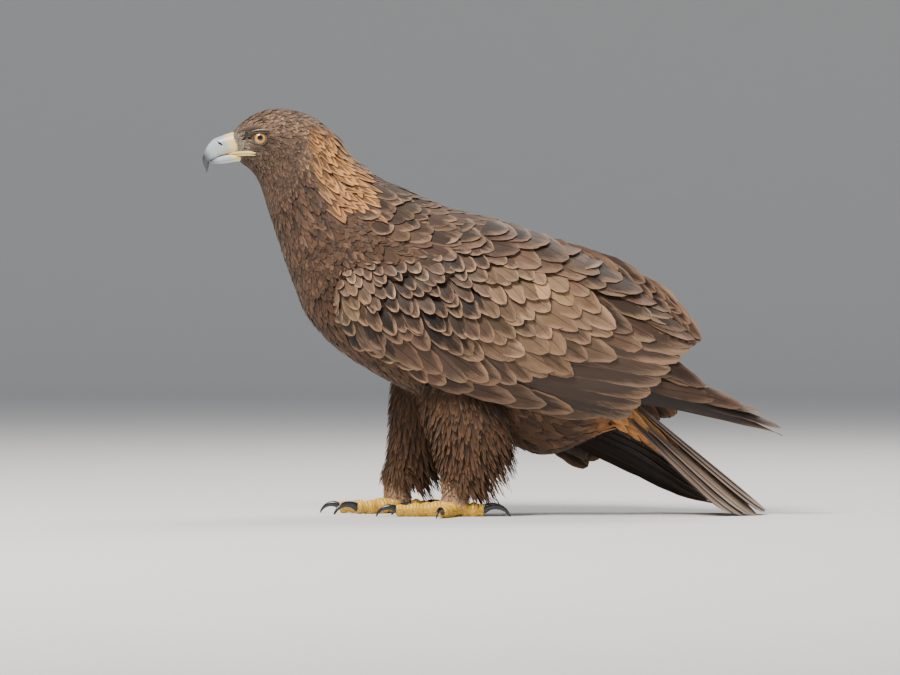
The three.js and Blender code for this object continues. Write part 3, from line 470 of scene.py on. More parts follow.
def horn_material(name):
    """Bill: blue grey at the base, dark at the tip, with yellow skin over the base and along the gape, and
    painted shade in the nostrils.
    """
    sh = Shader(name)
    c = colours()
    place = sh.place()
    x, y, z = sh.parts(place)
    ahead = x - SHIFT[0] * MM
    streak = sh.noise(sh.vector(x * 40.0, y * 260.0, z * 260.0), 1.0, 3.0, 0.6)
    fine = sh.noise(place, 900.0, 2.0, 0.5)
    wave = sh.noise(place, 160.0, 2.0, 0.5)
    to_tip = TIP_START[0] * MM - ahead - (z - TIP_START[1] * MM) * 0.9
    tip_mask = (to_tip + (streak - 0.5) * 0.007).within(-0.004, 0.016)
    colour = sh.mix(tip_mask, c.horn, c.tip)
    over_ridge = z - RIDGE_START[1] * MM - (ahead - RIDGE_START[0] * MM) * 0.3
    ridge = over_ridge.within(-0.004, 0.004) * (1.0 - tip_mask)
    colour = sh.mix(ridge * 0.25, colour, (0.20, 0.22, 0.23))
    to_cere = ahead - CERE_START[0] * MM + (z - CERE_START[1] * MM) * 0.35 + (wave - 0.5) * 0.004
    cere_mask = to_cere.within(0.0, 0.013) * 0.85
    lip = 1.0 - (z - GAPE_LEVEL * MM).absolute().within(0.0012, 0.0034)
    yellow = cere_mask + lip * to_cere.within(-0.012, 0.004) * 0.9
    colour = sh.mix(yellow.within(0.0, 1.0), colour, c.cere)
    # Painted shade: the nostril's opening is coloured near black, as the shadow inside the hole cut there.
    slit_x, slit_z = ahead - NOSTRIL["x"] * MM, z - NOSTRIL["z"] * MM
    cosine, sine = math.cos(NOSTRIL["turn"]), math.sin(NOSTRIL["turn"])
    slit_along = slit_x * cosine - slit_z * sine
    slit_over = slit_x * sine + slit_z * cosine
    nostril_shadow_distance = (slit_along * slit_along * 0.07 + slit_over * slit_over) ** 0.5
    colour = sh.mix(1.0 - nostril_shadow_distance.within(0.0009, 0.0017), colour, (0.012, 0.010, 0.010))
    colour = sh.shade(colour, (streak - 0.5) * 0.25 + (fine - 0.5) * 0.15 + 1.0)
    rough = cere_mask * 0.2 + (streak - 0.5) * 0.1 + 0.28
    height = streak * 0.3 + fine * 0.2 * cere_mask
    return sh.finish(base_color=colour, roughness=rough, normal=sh.bump(height, 0.25, 0.0004),
                     coat_weight=0.25, coat_roughness=0.2)


def gape_material(name):
    """Soft yellow skin of the gape."""
    sh = Shader(name)
    fine = sh.noise(sh.place(), 700.0, 3.0, 0.6)
    colour = sh.shade(colours().cere, (fine - 0.5) * 0.5 + 1.0)
    return sh.finish(base_color=colour, roughness=0.45, normal=sh.bump(fine, 0.3, 0.0004))


def eye_material(name, side):
    """Amber iris with darker rim and streaks round a black pupil, under a wet surface."""
    sh = Shader(name)
    centre = metres((EYE[0], side * EYE[1], EYE[2]))
    x, _, z = sh.parts(sh.place())
    ex = x - float(centre[0]) - GAZE[0] * MM
    ez = z - float(centre[2]) - GAZE[1] * MM
    radius = (ex * ex + ez * ez) ** 0.5
    angle = ex.math("ARCTAN2", ex, ez)
    streak = sh.noise(sh.vector(angle * 5.0, radius * 260.0, 0.0), 1.6, 3.0, 0.7)
    iris = colours().iris
    dark = [v * 0.25 for v in iris]
    bright = [min(1.0, v * 1.3) for v in iris]
    colour = sh.mix(streak.within(0.3, 0.7), iris, bright)
    for (start, end), ring in ((IRIS_EDGE, dark), (RIM_EDGE, (0.012, 0.009, 0.008))):
        colour = sh.mix(radius.within(start * MM, end * MM), colour, ring)
    pupil = 1.0 - radius.within(PUPIL_EDGE[0] * MM, PUPIL_EDGE[1] * MM)
    colour = sh.mix(pupil, colour, (0.002, 0.002, 0.002))
    return sh.finish(base_color=colour, roughness=0.12, coat_weight=1.0, coat_roughness=0.02,
                     specular_ior_level=0.6)


def toe_material(name):
    """Yellow skin in scales, darker between them."""
    sh = Shader(name)
    place = sh.place()
    along, rise, _ = sh.parts(sh.attribute("scute", "Vector"))
    scales = {"Vector": place, "Scale": 420.0}
    cells = sh.node("ShaderNodeTexVoronoi", {"feature": "DISTANCE_TO_EDGE"}, scales)
    tone = sh.parts(sh.node("ShaderNodeTexVoronoi", inputs=scales, output="Color"))[0]
    dirt = sh.noise(place, 55.0, 4.0, 0.6)
    wobble = sh.noise(place, 150.0, 2.0, 0.5)
    row = along + (wobble - 0.5) * 0.5
    part = row.math("FRACT", row)
    band = 1.0 - ((part - 0.5).absolute() * 2.0).within(0.62, 1.0)
    top = rise.within(0.05, 0.5)
    groove = band * top + cells.within(0.0, 0.2) * (1.0 - top)
    colour = sh.mix(groove, [v * 0.5 for v in colours().toe], colours().toe)
    colour = sh.mix(dirt.within(0.5, 0.8) * 0.45, colour, (0.30, 0.21, 0.12))
    colour = sh.shade(colour, (tone - 0.5) * 0.16 + 1.0)
    return sh.finish(base_color=colour, roughness=0.48, normal=sh.bump(groove, 0.8, 0.0010),
                     specular_ior_level=0.4)


def claw_material(name):
    """Black horn with faint streaks along it."""
    sh = Shader(name)
    streak = sh.noise(sh.place(), 320.0, 4.0, 0.7)
    colour = sh.mix(streak.within(0.5, 0.85), colours().claw, (0.06, 0.055, 0.055))
    rough = (streak - 0.5) * 0.25 + 0.26
    return sh.finish(base_color=colour, roughness=rough, normal=sh.bump(streak, 0.12, 0.0004),
                     coat_weight=0.4, coat_roughness=0.15)


def floor_material(name):
    """Plain pale studio floor."""
    sh = Shader(name)
    grain = sh.noise(sh.place(), 14.0, 3.0, 0.5)
    colour = sh.shade(colours().floor, (grain - 0.5) * 0.02 + 1.0)
    return sh.finish(base_color=colour, roughness=0.9)


# Curves and surfaces of the drawing


def smooth(x, low, high):
    """0 below low, 1 above high, and a smooth step between."""
    t = np.clip((x - low) / (high - low), 0, 1)
    return t * t * (3 - 2 * t)


def row_at(rows, t):
    """Rows of numbers read as one smooth curve, at any number of places."""
    t = np.asarray(t, dtype=float)
    i = np.clip(np.floor(t).astype(int), 0, len(rows) - 2)
    f = (t - i)[..., None]
    b, c = rows[i], rows[i + 1]
    a = rows[np.maximum(i - 1, 0)]
    d = rows[np.minimum(i + 2, len(rows) - 1)]
    curve = 0.5 * (2 * b + (c - a) * f + (2 * a - 5 * b + 4 * c - d) * f ** 2
                   + (3 * b - a - 3 * c + d) * f ** 3)
    straight = b + (c - b) * f
    return np.where((f <= 0) | (f >= 1), straight, curve)


def section_point(row, angle, grow=0.0, full=0.0, over=1.0, under=1.0):
    """A point of a section, at an angle from the left side to the upper side."""
    ux, uz, ox, oz, half = np.moveaxis(row, -1, 0)
    tall = np.hypot(ox - ux, oz - uz) / 2
    sine = np.sin(angle)
    power = np.where(sine > 0, over, under)
    rise = np.sign(sine) * np.abs(sine) ** power * (tall + grow) / tall / 2
    wide = (half + grow) * (1 + full * sine)
    share = 0.5 + rise
    return np.stack([ux + (ox - ux) * share, -wide * np.cos(angle), uz + (oz - uz) * share], axis=-1)


def body_point(section, angle):
    """A point on the outside of the body's feathers."""
    return section_point(row_at(SECTIONS, section), angle, full=CROWN_FULLNESS)


def unit(v):
    """Vectors made one long."""
    return v / np.maximum(np.linalg.norm(v, axis=-1, keepdims=True), 1e-9)


def body_normal(section, angle):
    """The outward normal of the body's outside."""
    ds, da = 0.06, 0.04
    along = body_point(section + ds, angle) - body_point(section - ds, angle)
    around = body_point(section, angle + da) - body_point(section, angle - da)
    normal = unit(np.cross(along, around))
    ux, uz, ox, oz, _ = np.moveaxis(row_at(SECTIONS, section), -1, 0)
    centre = np.stack([(ux + ox) / 2, 0 * ux, (uz + oz) / 2], axis=-1)
    facing = np.sum(normal * (body_point(section, angle) - centre), axis=-1, keepdims=True)
    return np.where(facing < 0, -normal, normal)


def wing_point(x, z):
    """Points of the left wing's feather surface over places in its side view."""
    low = np.full(np.shape(x), -1.0)
    high = np.full(np.shape(x), float(len(WING)))
    for _ in range(22):
        middle = (low + high) / 2
        bx, bz, tx, tz, _ = np.moveaxis(row_at(WING, middle), -1, 0)
        ahead = (tx - bx) * (z - bz) - (tz - bz) * (x - bx) < 0
        low = np.where(ahead, middle, low)
        high = np.where(ahead, high, middle)
    bx, bz, tx, tz, half = np.moveaxis(row_at(WING, low), -1, 0)
    share = ((x - bx) * (tx - bx) + (z - bz) * (tz - bz)) / ((tx - bx) ** 2 + (tz - bz) ** 2)
    sine = np.sin(WING_LOW) + (np.sin(WING_HIGH) - np.sin(WING_LOW)) * np.clip(share, -0.12, 1.005)
    return np.stack([x, -half * np.sqrt(np.maximum(1 - sine ** 2, 0.01)), z], axis=-1)


def wing_normal(x, z):
    """The outward normal of the left wing's feather surface."""
    step = 0.8
    along = wing_point(x + step, z) - wing_point(x - step, z)
    up = wing_point(x, z + step) - wing_point(x, z - step)
    normal = unit(np.cross(along, up))
    facing = normal[..., 1:2] * -1 + normal[..., 2:3] * 0.3
    return np.where(facing < 0, -normal, normal)


def wing_section_point(section, share):
    """A place on the side view of the wing: a section and a share from its bottom to its top edge."""
    bx, bz, tx, tz, _ = np.moveaxis(row_at(WING, section), -1, 0)
    return bx + (tx - bx) * share, bz + (tz - bz) * share


def place_wing(points, side):
    """The right wing mirrors the left, bends down towards the hand and lies along the ground."""
    if side == LEFT:
        return points
    x, y, z = np.moveaxis(points, -1, 0)
    bend = smooth(x, DROOP_FROM, DROOP_TO)
    turn = RIGHT_DROOP * bend
    dx, dz = x - SHOULDER[0], z - SHOULDER[1]
    new_x = SHOULDER[0] + np.cos(turn) * dx + np.sin(turn) * dz
    new_z = SHOULDER[1] - np.sin(turn) * dx + np.cos(turn) * dz
    ease = GROUND_EASE - GROUND_CLEAR
    new_z = np.where(new_z < GROUND_EASE, GROUND_CLEAR + ease * np.exp((new_z - GROUND_EASE) / ease), new_z)
    return np.stack([new_x, -y + bend * RIGHT_SPREAD, new_z], axis=-1)


# Vanes as joined meshes


class Outline:
    """A vane's outline: the rows along it, the columns across it and its half width at each row."""

    def __init__(self, rows, columns, widest, base, tip_power, tip_width=0.04):
        t = np.linspace(0, 1, rows)
        self.t = 1 - (1 - t) ** 1.25
        self.s = np.linspace(-1, 1, columns)
        rise = base + (1 - base) * np.sin(np.clip(self.t / widest, 0, 1) * math.pi / 2)
        fall = np.clip((self.t - widest) / (1 - widest), 0, 1)
        self.w = rise * np.maximum((1 - fall ** tip_power) ** 0.5, tip_width)


# How much vanes differ in warmth, how uneven their edges are, and how far they curve down towards those.
WARMTH, RAGGEDNESS, BODY_CAMBER, WING_CAMBER = 0.05, 0.035, 0.05, 0.04
SOFT = Outline(7, 3, 0.5, 0.4, 1.5)
LANCE = Outline(8, 3, 0.32, 0.5, 0.95)
COVERT = Outline(10, 5, 0.52, 0.5, 1.6, 0.08)
FLIGHT = Outline(18, 7, 0.7, 0.4, 2.6, 0.12)
POINTED = Outline(18, 7, 0.5, 0.5, 2.0, 0.08)
WISP = Outline(9, 3, 0.3, 0.5, 0.8)


class Coat:
    """Collects vanes and makes one mesh piece of them."""

    def __init__(self):
        self.count = 0
        self.parts = {key: [] for key in ("co", "faces", "vane", "ground", "rim", "uv", "border")}

    def add(self, outline, points, normals, thick, ground, rim, uv_root, uv_size=0.003):
        """points and normals are (n, rows, columns, 3) in millimetres; colours are (n, 3) or one colour."""
        n, rows, columns = points.shape[:3]
        inner = np.zeros((rows, columns), dtype=bool)
        inner[1:-1, 1:-1] = True
        t = np.broadcast_to(outline.t[None, :, None], points.shape[:3])
        s = np.broadcast_to(outline.s[None, None, :], points.shape[:3])
        chance = np.broadcast_to(rng.random(n)[:, None, None], points.shape[:3])
        body = np.sin(np.clip(t, 0.02, 0.98) * math.pi) ** 0.5 * (1 - s ** 2)
        size = np.broadcast_to(np.asarray(uv_size, dtype=float), (n, 2))[:, None, None, :]
        patch = uv_root[:, None, None, :] + np.stack([t - 0.5, s / 2], axis=-1) * size
        vane = np.stack([t, s, chance], axis=-1)

        def both_sides(top, under):
            width = top.shape[-1]
            return np.concatenate([top.reshape(n, -1, width), under[:, inner]], axis=1).reshape(-1, width)

        per_vane = rows * columns + int(inner.sum())
        first = self.count + np.arange(n) * per_vane
        made = {
            "co": both_sides(points, points - normals * (thick * body)[..., None]),
            "faces": (self.quads(inner)[None] + first[:, None, None]).reshape(-1, 4),
            "vane": both_sides(vane, vane),
            "uv": both_sides(patch, patch),
            "border": np.tile(np.concatenate([~inner.ravel(), np.zeros(int(inner.sum()), dtype=bool)]), n),
        }
        for key, colour in (("ground", ground), ("rim", np.clip(rim, 0, 1))):
            one_each = np.broadcast_to(np.asarray(colour, dtype=float), (n, 3))
            made[key] = np.repeat(one_each, per_vane, axis=0)
        for key, values in made.items():
            self.parts[key].append(values)
        self.count += n * per_vane

    def quads(self, inner):
        """Faces of one vane, whose upper and under sides share its border."""
        top = np.arange(inner.size).reshape(inner.shape)
        under = top.copy()
        under[inner] = inner.size + np.arange(inner.sum())
        faces = []
        for index, order in ((top, (0, 1, 2, 3)), (under, (0, 3, 2, 1))):
            corners = (index[:-1, :-1], index[:-1, 1:], index[1:, 1:], index[1:, :-1])
            faces.append(np.stack([corners[i].ravel() for i in order], axis=1))
        return np.concatenate(faces)

    def build(self, name, material, slot, *nodes):
        """One object of all the vanes."""
        part = {key: np.concatenate(values) for key, values in self.parts.items()}
        faces = part["faces"]
        mesh = bpy.data.meshes.new(name)
        mesh.vertices.add(self.count)
        mesh.vertices.foreach_set("co", metres(part["co"]).astype(np.float32).ravel())
        mesh.loops.add(faces.size)
        mesh.loops.foreach_set("vertex_index", faces.astype(np.int32).ravel())
        mesh.polygons.add(len(faces))
        mesh.polygons.foreach_set("loop_start", np.arange(0, faces.size, 4, dtype=np.int32))
        mesh.update(calc_edges=True)
        mesh.shade_smooth()
        edges = np.empty(len(mesh.edges) * 2, dtype=np.int32)
        mesh.edges.foreach_get("vertices", edges)
        sharp = part["border"][edges.reshape(-1, 2)].all(axis=1)
        opaque = np.ones((self.count, 1))
        mark(mesh, "sharp_edge", "BOOLEAN", sharp, "EDGE")
        mark(mesh, "vane", "FLOAT_VECTOR", part["vane"])
        for key in ("ground", "rim"):
            mark(mesh, key, "FLOAT_COLOR", np.concatenate([part[key], opaque], axis=1))
        layer = mesh.uv_layers.new(name="OFBake")
        layer.data.foreach_set("uv", part["uv"][faces.ravel()].astype(np.float32).ravel())
        return finish_piece(mesh, name, material, slot, *nodes)


def mark(mesh, name, kind, values, domain="POINT"):
    """Stores one value for each point or edge of a mesh."""
    key = {"BOOLEAN": "value", "FLOAT_VECTOR": "vector", "FLOAT_COLOR": "color"}[kind]
    flat = values if kind == "BOOLEAN" else values.astype(np.float32).ravel()
    mesh.attributes.new(name, kind, domain).data.foreach_set(key, flat)


def finish_piece(mesh, name, material, slot, *nodes):
    """An object at the origin that rides on the body and stands for its nodes."""
    mesh.name = name
    mesh.materials.clear()
    mesh.materials.append(material)
    piece = bpy.data.objects.new(name, mesh)
    bpy.context.scene.collection.objects.link(piece)
    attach(piece, BODY)
    if nodes:
        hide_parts(*nodes)
    return piece


def vary(count, spread):
    """Random factors round one."""
    return 1 + rng.normal(0, spread, count)


def tinted(colour, count, spread=0.16):
    """One colour for each vane, each a little lighter or darker and warmer or cooler."""
    base = np.broadcast_to(np.asarray(colour, dtype=float), (count, 3)).copy()
    base *= np.clip(1 + rng.normal(0, spread, (count, 1)), 0.45, 1.8)
    base[:, 0:1] *= 1 + rng.normal(0, WARMTH, (count, 1))
    base[:, 2:3] *= 1 - rng.normal(0, WARMTH, (count, 1))
    return np.clip(base, 0.002, 0.95)


def blend(a, b, share):
    """Colours between a and b, with one share for each vane or one for all."""
    share = np.asarray(share, dtype=float)[..., None]
    return np.asarray(a) * (1 - share) + np.asarray(b) * share


def each(values, count):
    """One number for each vane, ready to meet the rows and columns of its points."""
    return np.broadcast_to(values, count)[:, None, None]


def ragged(outline, count):
    """Half widths along each vane, a little uneven from row to row."""
    return outline.w[None, :, None] * (1 + rng.normal(0, RAGGEDNESS, (count, len(outline.t), 1)))


def body_vanes(outline, section, angle, length, width, low, high, heading):
    """Vanes that follow the body from their roots towards the tail."""
    n = len(section)
    start = body_point(section, angle)
    per_section = np.linalg.norm(body_point(section + 0.1, angle) - start, axis=-1) * 10
    per_turn = np.linalg.norm(body_point(section, angle + 0.05) - start, axis=-1) * 20
    t, s = outline.t[None, :, None], outline.s[None, None, :]
    wide = ragged(outline, n) * each(width / 2, n)
    run, heading = each(length, n) * t, each(heading, n)
    forward = run * np.cos(heading) - s * wide * np.sin(heading)
    aside = run * np.sin(heading) + s * wide * np.cos(heading)
    at = each(section, n) + forward / each(per_section, n)
    around = each(angle, n) + aside / each(per_turn, n)
    normals = body_normal(at, around)
    rise = each(low, n) + (each(high, n) - each(low, n)) * t ** 0.8 - BODY_CAMBER * 2 * wide * s ** 2
    return body_point(at, around) + normals * rise[..., None], normals


def cover_body(coat, outline, section, angle, length, width, lift, heading, thick, ground, rim):
    """Adds feathers over the body; lift is how far their roots and their tips stand off it."""
    shape = body_vanes(outline, section, angle, length, width, *lift, heading)
    coat.add(outline, *shape, thick, ground, rim, body_uv(section, angle))


def wing_vanes(outline, roots, tips, width, low, high, roll, bow=0.0, ease=2.0):
    """Vanes that lie on the wing from root to tip in its side view."""
    n = len(roots)
    run = tips - roots
    across = unit(np.stack([-run[:, 1], run[:, 0]], axis=-1))
    t, s = outline.t[None, :, None], outline.s[None, None, :]
    wide = ragged(outline, n) * (each(width, n) / 2)
    aside = each(bow, n) * 4 * t * (1 - t) + s * wide
    x, z = (each(roots[:, i], n) + each(run[:, i], n) * t + each(across[:, i], n) * aside for i in (0, 1))
    normals = wing_normal(x, z)
    rise = each(low, n) + (each(high, n) - each(low, n)) * (1 - (1 - t) ** ease) - s * each(roll, n)
    rise = rise - WING_CAMBER * 2 * wide * s ** 2
    return wing_point(x, z) + normals * rise[..., None], normals


def wing_uv(roots):
    """Where a covert's root lies on the unwrap of the wing, which is its side view."""
    low, high = np.array([-140, 80]), np.array([480, 400])
    return np.clip((roots - low) / (high - low), 0.01, 0.99)


def body_uv(section, angle):
    """Where a feather's root lies on the unwrap of the body, along its sections and round them."""
    share = section / (len(SECTIONS) - 1)
    return np.clip(np.stack([share, angle / (2 * math.pi) % 1.0], axis=-1), 0.01, 0.99)


# Rings and lofts by mesh operators


def loft(rings, closed_ends=True):
    """A bmesh whose rings are circles moved to the given points and bridged in turn."""
    bm = bmesh.new()
    loops = []
    for ring in rings:
        made = bmesh.ops.create_circle(bm, segments=len(ring), radius=1.0, cap_ends=False)["verts"]
        for vert, point in zip(made, metres(ring)):
            vert.co = point
        loops.append(made)
    for pair in zip(loops, loops[1:]):
        ends = {vert for loop in pair for vert in loop}
        bmesh.ops.bridge_loops(bm, edges=[edge for edge in bm.edges if ends.issuperset(edge.verts)])
    if closed_ends:
        bmesh.ops.holes_fill(bm, edges=[edge for edge in bm.edges if edge.is_boundary], sides=0)
    bmesh.ops.recalc_face_normals(bm, faces=bm.faces)
    return bm


def mesh_of(bm):
    """The smooth mesh of a bmesh, which is freed."""
    mesh = bpy.data.meshes.new("pending")
    bm.to_mesh(mesh)
    bm.free()
    mesh.shade_smooth()
    return mesh


def merge(target, other):
    """Adds one bmesh to another."""
    mesh = mesh_of(other)
    target.from_mesh(mesh)
    bpy.data.meshes.remove(mesh)


def ball(centre, radii, turn=(0, 0, 0), segments=24):
    """An ellipsoid, in the drawing's millimetres."""
    bm = bmesh.new()
    bmesh.ops.create_uvsphere(bm, u_segments=segments, v_segments=segments // 2, radius=1.0)
    place = (Matrix.Translation(Vector(metres(centre))) @ Euler(turn).to_matrix().to_4x4()
             @ Matrix.Diagonal(Vector((*[r * MM for r in radii], 1.0))))
    bmesh.ops.transform(bm, matrix=place, verts=bm.verts)
    return bm


def apply_modifiers(mesh, *settings):
    """Runs modifiers on a mesh and gives the smooth result."""
    holder = bpy.data.objects.new("pending", mesh)
    bpy.context.scene.collection.objects.link(holder)
    for kind, values in settings:
        modifier = holder.modifiers.new(kind.title(), kind)
        for key, value in values.items():
            setattr(modifier, key, value)
    graph = bpy.context.evaluated_depsgraph_get()
    result = bpy.data.meshes.new_from_object(holder.evaluated_get(graph))
    bpy.data.objects.remove(holder)
    result.shade_smooth()
    return result


def one_skin(bm, cell, rounds):
    """One closed mesh round all the parts of a bmesh, smoothed a few times."""
    return apply_modifiers(mesh_of(bm), ("REMESH", {"mode": "VOXEL", "voxel_size": cell}),
                           ("SMOOTH", {"iterations": rounds, "factor": 0.5}))


def ring_points(rows, steps, sides, grow=0.0, full=0.0, over=1.0, under=1.0):
    """Rings along a table of sections."""
    angles = np.arange(sides) / sides * 2 * math.pi
    places = np.linspace(0, len(rows) - 1, (len(rows) - 1) * steps + 1)
    return [section_point(np.repeat(row_at(rows, np.array([place])), sides, axis=0), angles, grow, full, over,
                          under) for place in places]


def thigh_ring(leg, place, turn, grow):
    """Points round a thigh at a place in its table, with the table's numbers there."""
    (kx, ky, kz), (ax, ay, az) = leg["knee"], leg["ankle"]
    t, long, wide, behind = row_at(THIGH, np.array([place]))[0]
    ring = np.stack([kx + (ax - kx) * t + behind + (long + grow) * np.cos(turn),
                     ky + (ay - ky) * t + (wide + grow) * np.sin(turn),
                     np.full(len(turn), kz + (az - kz) * t)], axis=-1)
    return ring, (t, long, wide, behind)


def shank_ring(leg, place, turn, foot, grow, out):
    """Points round a shank that is slimmer at its top; grow is slimmed with it and out isn't."""
    (ax, ay, _), (fx, fy) = leg["ankle"], leg["foot"]
    t, long, wide = row_at(SHANK, np.array([place]))[0]
    slim = 0.66 + 0.34 * smooth(place, 0, 1.2)
    return np.stack([ax + (fx - ax) * t + ((long + grow) * slim + out) * np.cos(turn),
                     ay + (fy - ay) * t + ((wide + grow) * slim + out) * np.sin(turn),
                     np.full(len(turn), SHANK_TOP + (foot - SHANK_TOP) * t)], axis=-1)


class EAGLE_OT_skin(bpy.types.Operator):
    """Build one skin over the head, neck, body and legs, swollen round the eyes"""

    bl_idname = "eagle.skin"
    bl_label = "Skin"

    def execute(self, context):
        depth = sizes().skin_depth / MM
        turn = np.arange(28) / 28 * 2 * math.pi
        bm = loft(ring_points(SECTIONS, 4, 64, -depth, CROWN_FULLNESS))
        for leg in LEGS.values():
            merge(bm, loft([thigh_ring(leg, p, turn, -depth)[0] for p in np.linspace(0, len(THIGH) - 1, 16)]))
            merge(bm, loft([shank_ring(leg, p, turn, SHANK_FOOT - 5, -depth, 0)
                            for p in np.linspace(0, len(SHANK) - 1, 10)]))
        for side in (LEFT, RIGHT):
            for (x, y, z), radii, (roll, pitch, yaw) in FACE_SWELLINGS:
                merge(bm, ball((x, side * y, z), radii, (roll * DEG, pitch * DEG, side * yaw * DEG)))
        mesh = one_skin(bm, sizes().skin_voxel, 3)
        material = skin_material("down_and_skin", colours().umber, colours().chestnut)
        finish_piece(mesh, "skin", material, "body_feathers", "head", "neck", "torso")
        return {"FINISHED"}


def nape_edge(z, edge):
    """The two ends of the fade across one edge of the golden nape, at a height."""
    middle = edge["x"] + edge["lean"] * (edge["z"] - z)
    return middle - edge["fade"][0], middle + edge["fade"][1]


def golden_share(points):
    """How golden a feather of the nape is: from behind the eye to the collar, and over the nape."""
    x, z = points[:, 0], points[:, 2]
    share = smooth(x, *nape_edge(z, NAPE_FRONT)) * (1 - smooth(x, *nape_edge(z, NAPE_BACK)))
    return share * (1 - smooth(z, *NAPE_TOP)) * smooth(z, *NAPE_END)


def head_ground(points):
    """Crown dark brown, cheeks a little paler, lores grey tan."""
    c = colours()
    n = len(points)
    x, z = points[:, 0], points[:, 2]
    crown = tinted(blend(c.umber, c.edge, rng.uniform(0.03, 0.38, n)), n, 0.25)
    cheek = tinted(blend(c.umber, c.edge, 0.03), n, 0.2)
    lores = tinted((0.165, 0.135, 0.10), n, 0.2)
    cheek_share = (1 - smooth(z, *CHEEK_Z)) * (1 - smooth(x, *CHEEK_X))
    lore_share = (1 - smooth(x, *LORES_X)) * (1 - smooth(z, *LORES_TOP)) * smooth(z, *LORES_END)
    return blend(blend(crown, cheek, cheek_share * 0.7), lores, lore_share)


def scatter_rows(span, steps, degrees, jitter=0.3):
    """Staggered places over a span of the body's sections and degrees, at steps in millimetres."""
    (start, stop), (row_step, column_step), (low, high) = span, steps, degrees
    sections, angles = [], []
    middle, arc = (low + high) / 2 * DEG, np.linspace(low, high, 60) * DEG
    at, row = start, 0
    while at < stop:
        pace = np.linalg.norm(body_point(at + 0.1, middle) - body_point(at, middle)) * 10
        girth = np.sum(np.linalg.norm(np.diff(body_point(np.full(60, at), arc), axis=0), axis=1))
        count = max(3, int(girth / column_step))
        share = (np.arange(count) + 0.5 * (row % 2)) / count + rng.normal(0, jitter / count, count)
        angles.append((low + (high - low) * share) * DEG)
        sections.append(np.full(count, at) + rng.normal(0, jitter * row_step / pace, count))
        at += row_step / pace
        row += 1
    return np.concatenate(sections), np.concatenate(angles)


def near_eye(points):
    """Distance of points from the nearer eye's centre, in millimetres."""
    x, y, z = np.moveaxis(points, -1, 0)
    return np.linalg.norm(np.stack([x, np.abs(y), z], axis=-1) - EYE, axis=-1)


class EAGLE_OT_head_feathers(bpy.types.Operator):
    """Cover the head in short, narrow feathers that lengthen towards the nape"""

    bl_idname = "eagle.head_feathers"
    bl_label = "Head Feathers"

    def execute(self, context):
        coat = Coat()
        section, angle = scatter_rows((-0.1, 5.5), (3.2, 2.7), (-90, 270))
        points = body_point(section, angle)
        bill_edge = 0.16 - 0.3 * smooth(np.sin(angle), 0.1, 0.8)
        kept = (near_eye(points) >= BARE_ROUND_EYE) & (section >= bill_edge)
        section, angle, points = section[kept], angle[kept], points[kept]
        n = len(section)
        front = smooth(-section, -2.2, -0.6)
        length = sizes().head_feather / MM * (0.62 + 0.24 * section) * vary(n, 0.15)
        width = (2.0 + 0.62 * section) * vary(n, 0.12)
        ground = head_ground(points)
        bright = ground * rng.uniform(1.2, 2.3, (n, 1))
        rim = blend(bright, tinted(colours().gold, n, 0.2), golden_share(points) * 0.6)
        below = (points[:, 2] < 484) & (np.cos(angle) ** 2 > 0.2)
        heading = rng.normal(0, 0.10, n) - np.sign(np.cos(angle)) * 0.12 * below
        lift = (-2.6 + front * 1.9, 0.25 + 0.16 * section)
        cover_body(coat, SOFT, section, angle, length, width, lift, heading, 0.4, ground, rim)
        material = feather_material("head_feather")
        coat.build("head_feathers", material, "body_feathers")
        return {"FINISHED"}


class EAGLE_OT_hackles(bpy.types.Operator):
    """Lay pointed golden hackles over the nape and the sides of the neck"""

    bl_idname = "eagle.hackles"
    bl_label = "Hackles"

    def execute(self, context):
        coat = Coat()
        self.neck(coat, colours(), sizes().hackle / MM)
        self.nape(coat, colours(), sizes().hackle / MM)
        material = feather_material("hackle")
        coat.build("nape_hackles", material, "nape_feathers")
        return {"FINISHED"}

    def neck(self, coat, c, reach):
        """Brown hackles all round the neck."""
        section, angle = scatter_rows((4.6, 9.8), (6.4, 5.0), (-90, 270))
        kept = (section < 8.8) | (np.sin(angle) < 0.15)
        section, angle = section[kept], angle[kept]
        n = len(section)
        golden = golden_share(body_point(section, angle))
        length = reach * (0.60 + 0.10 * (section - 4.6)) * vary(n, 0.15)
        width = (5.0 + 1.0 * (section - 4.6)) * vary(n, 0.12)
        dark = tinted(blend(c.umber, c.chestnut, rng.uniform(0.1, 0.7, n)), n, 0.24)
        ground = blend(dark, tinted(c.umber, n, 0.2) * 0.7, golden * 0.7)
        rim = blend(dark * 1.6, tinted(c.chestnut, n, 0.2), golden * 0.8)
        cover_body(coat, LANCE, section, angle, length, width, (-2.8, 0.9 + 0.5 * rng.random(n)),
                   rng.normal(0, 0.12, n), 0.6, ground, rim)

    def nape(self, coat, c, reach):
        """Golden hackles that stand off the nape, fewer towards its edges."""
        section, angle = scatter_rows((4.2, 9.4), (8.6, 6.4), (-20, 200), jitter=0.42)
        golden = golden_share(body_point(section, angle)) * rng.uniform(0.55, 1.25, len(section))
        kept = golden > 0.33
        section, angle, golden = section[kept], angle[kept], np.clip(golden[kept], 0, 1)
        n = len(section)
        length = reach * (0.72 + 0.13 * (section - 4.2)) * vary(n, 0.16)
        width = (7.0 + 0.7 * (section - 4.2)) * vary(n, 0.12)
        ground = tinted(blend(c.umber, c.chestnut, rng.uniform(0.3, 1.1, n)), n, 0.2)
        ground = blend(ground, np.array(c.gold) * 0.4, golden * 0.35)
        rim = blend(ground * 1.5, tinted(c.gold, n, 0.18), golden)
        cover_body(coat, LANCE, section, angle, length, width, (-1.5, rng.uniform(2.4, 5.2, n)),
                   rng.normal(0, 0.14, n), 0.6, ground, rim)


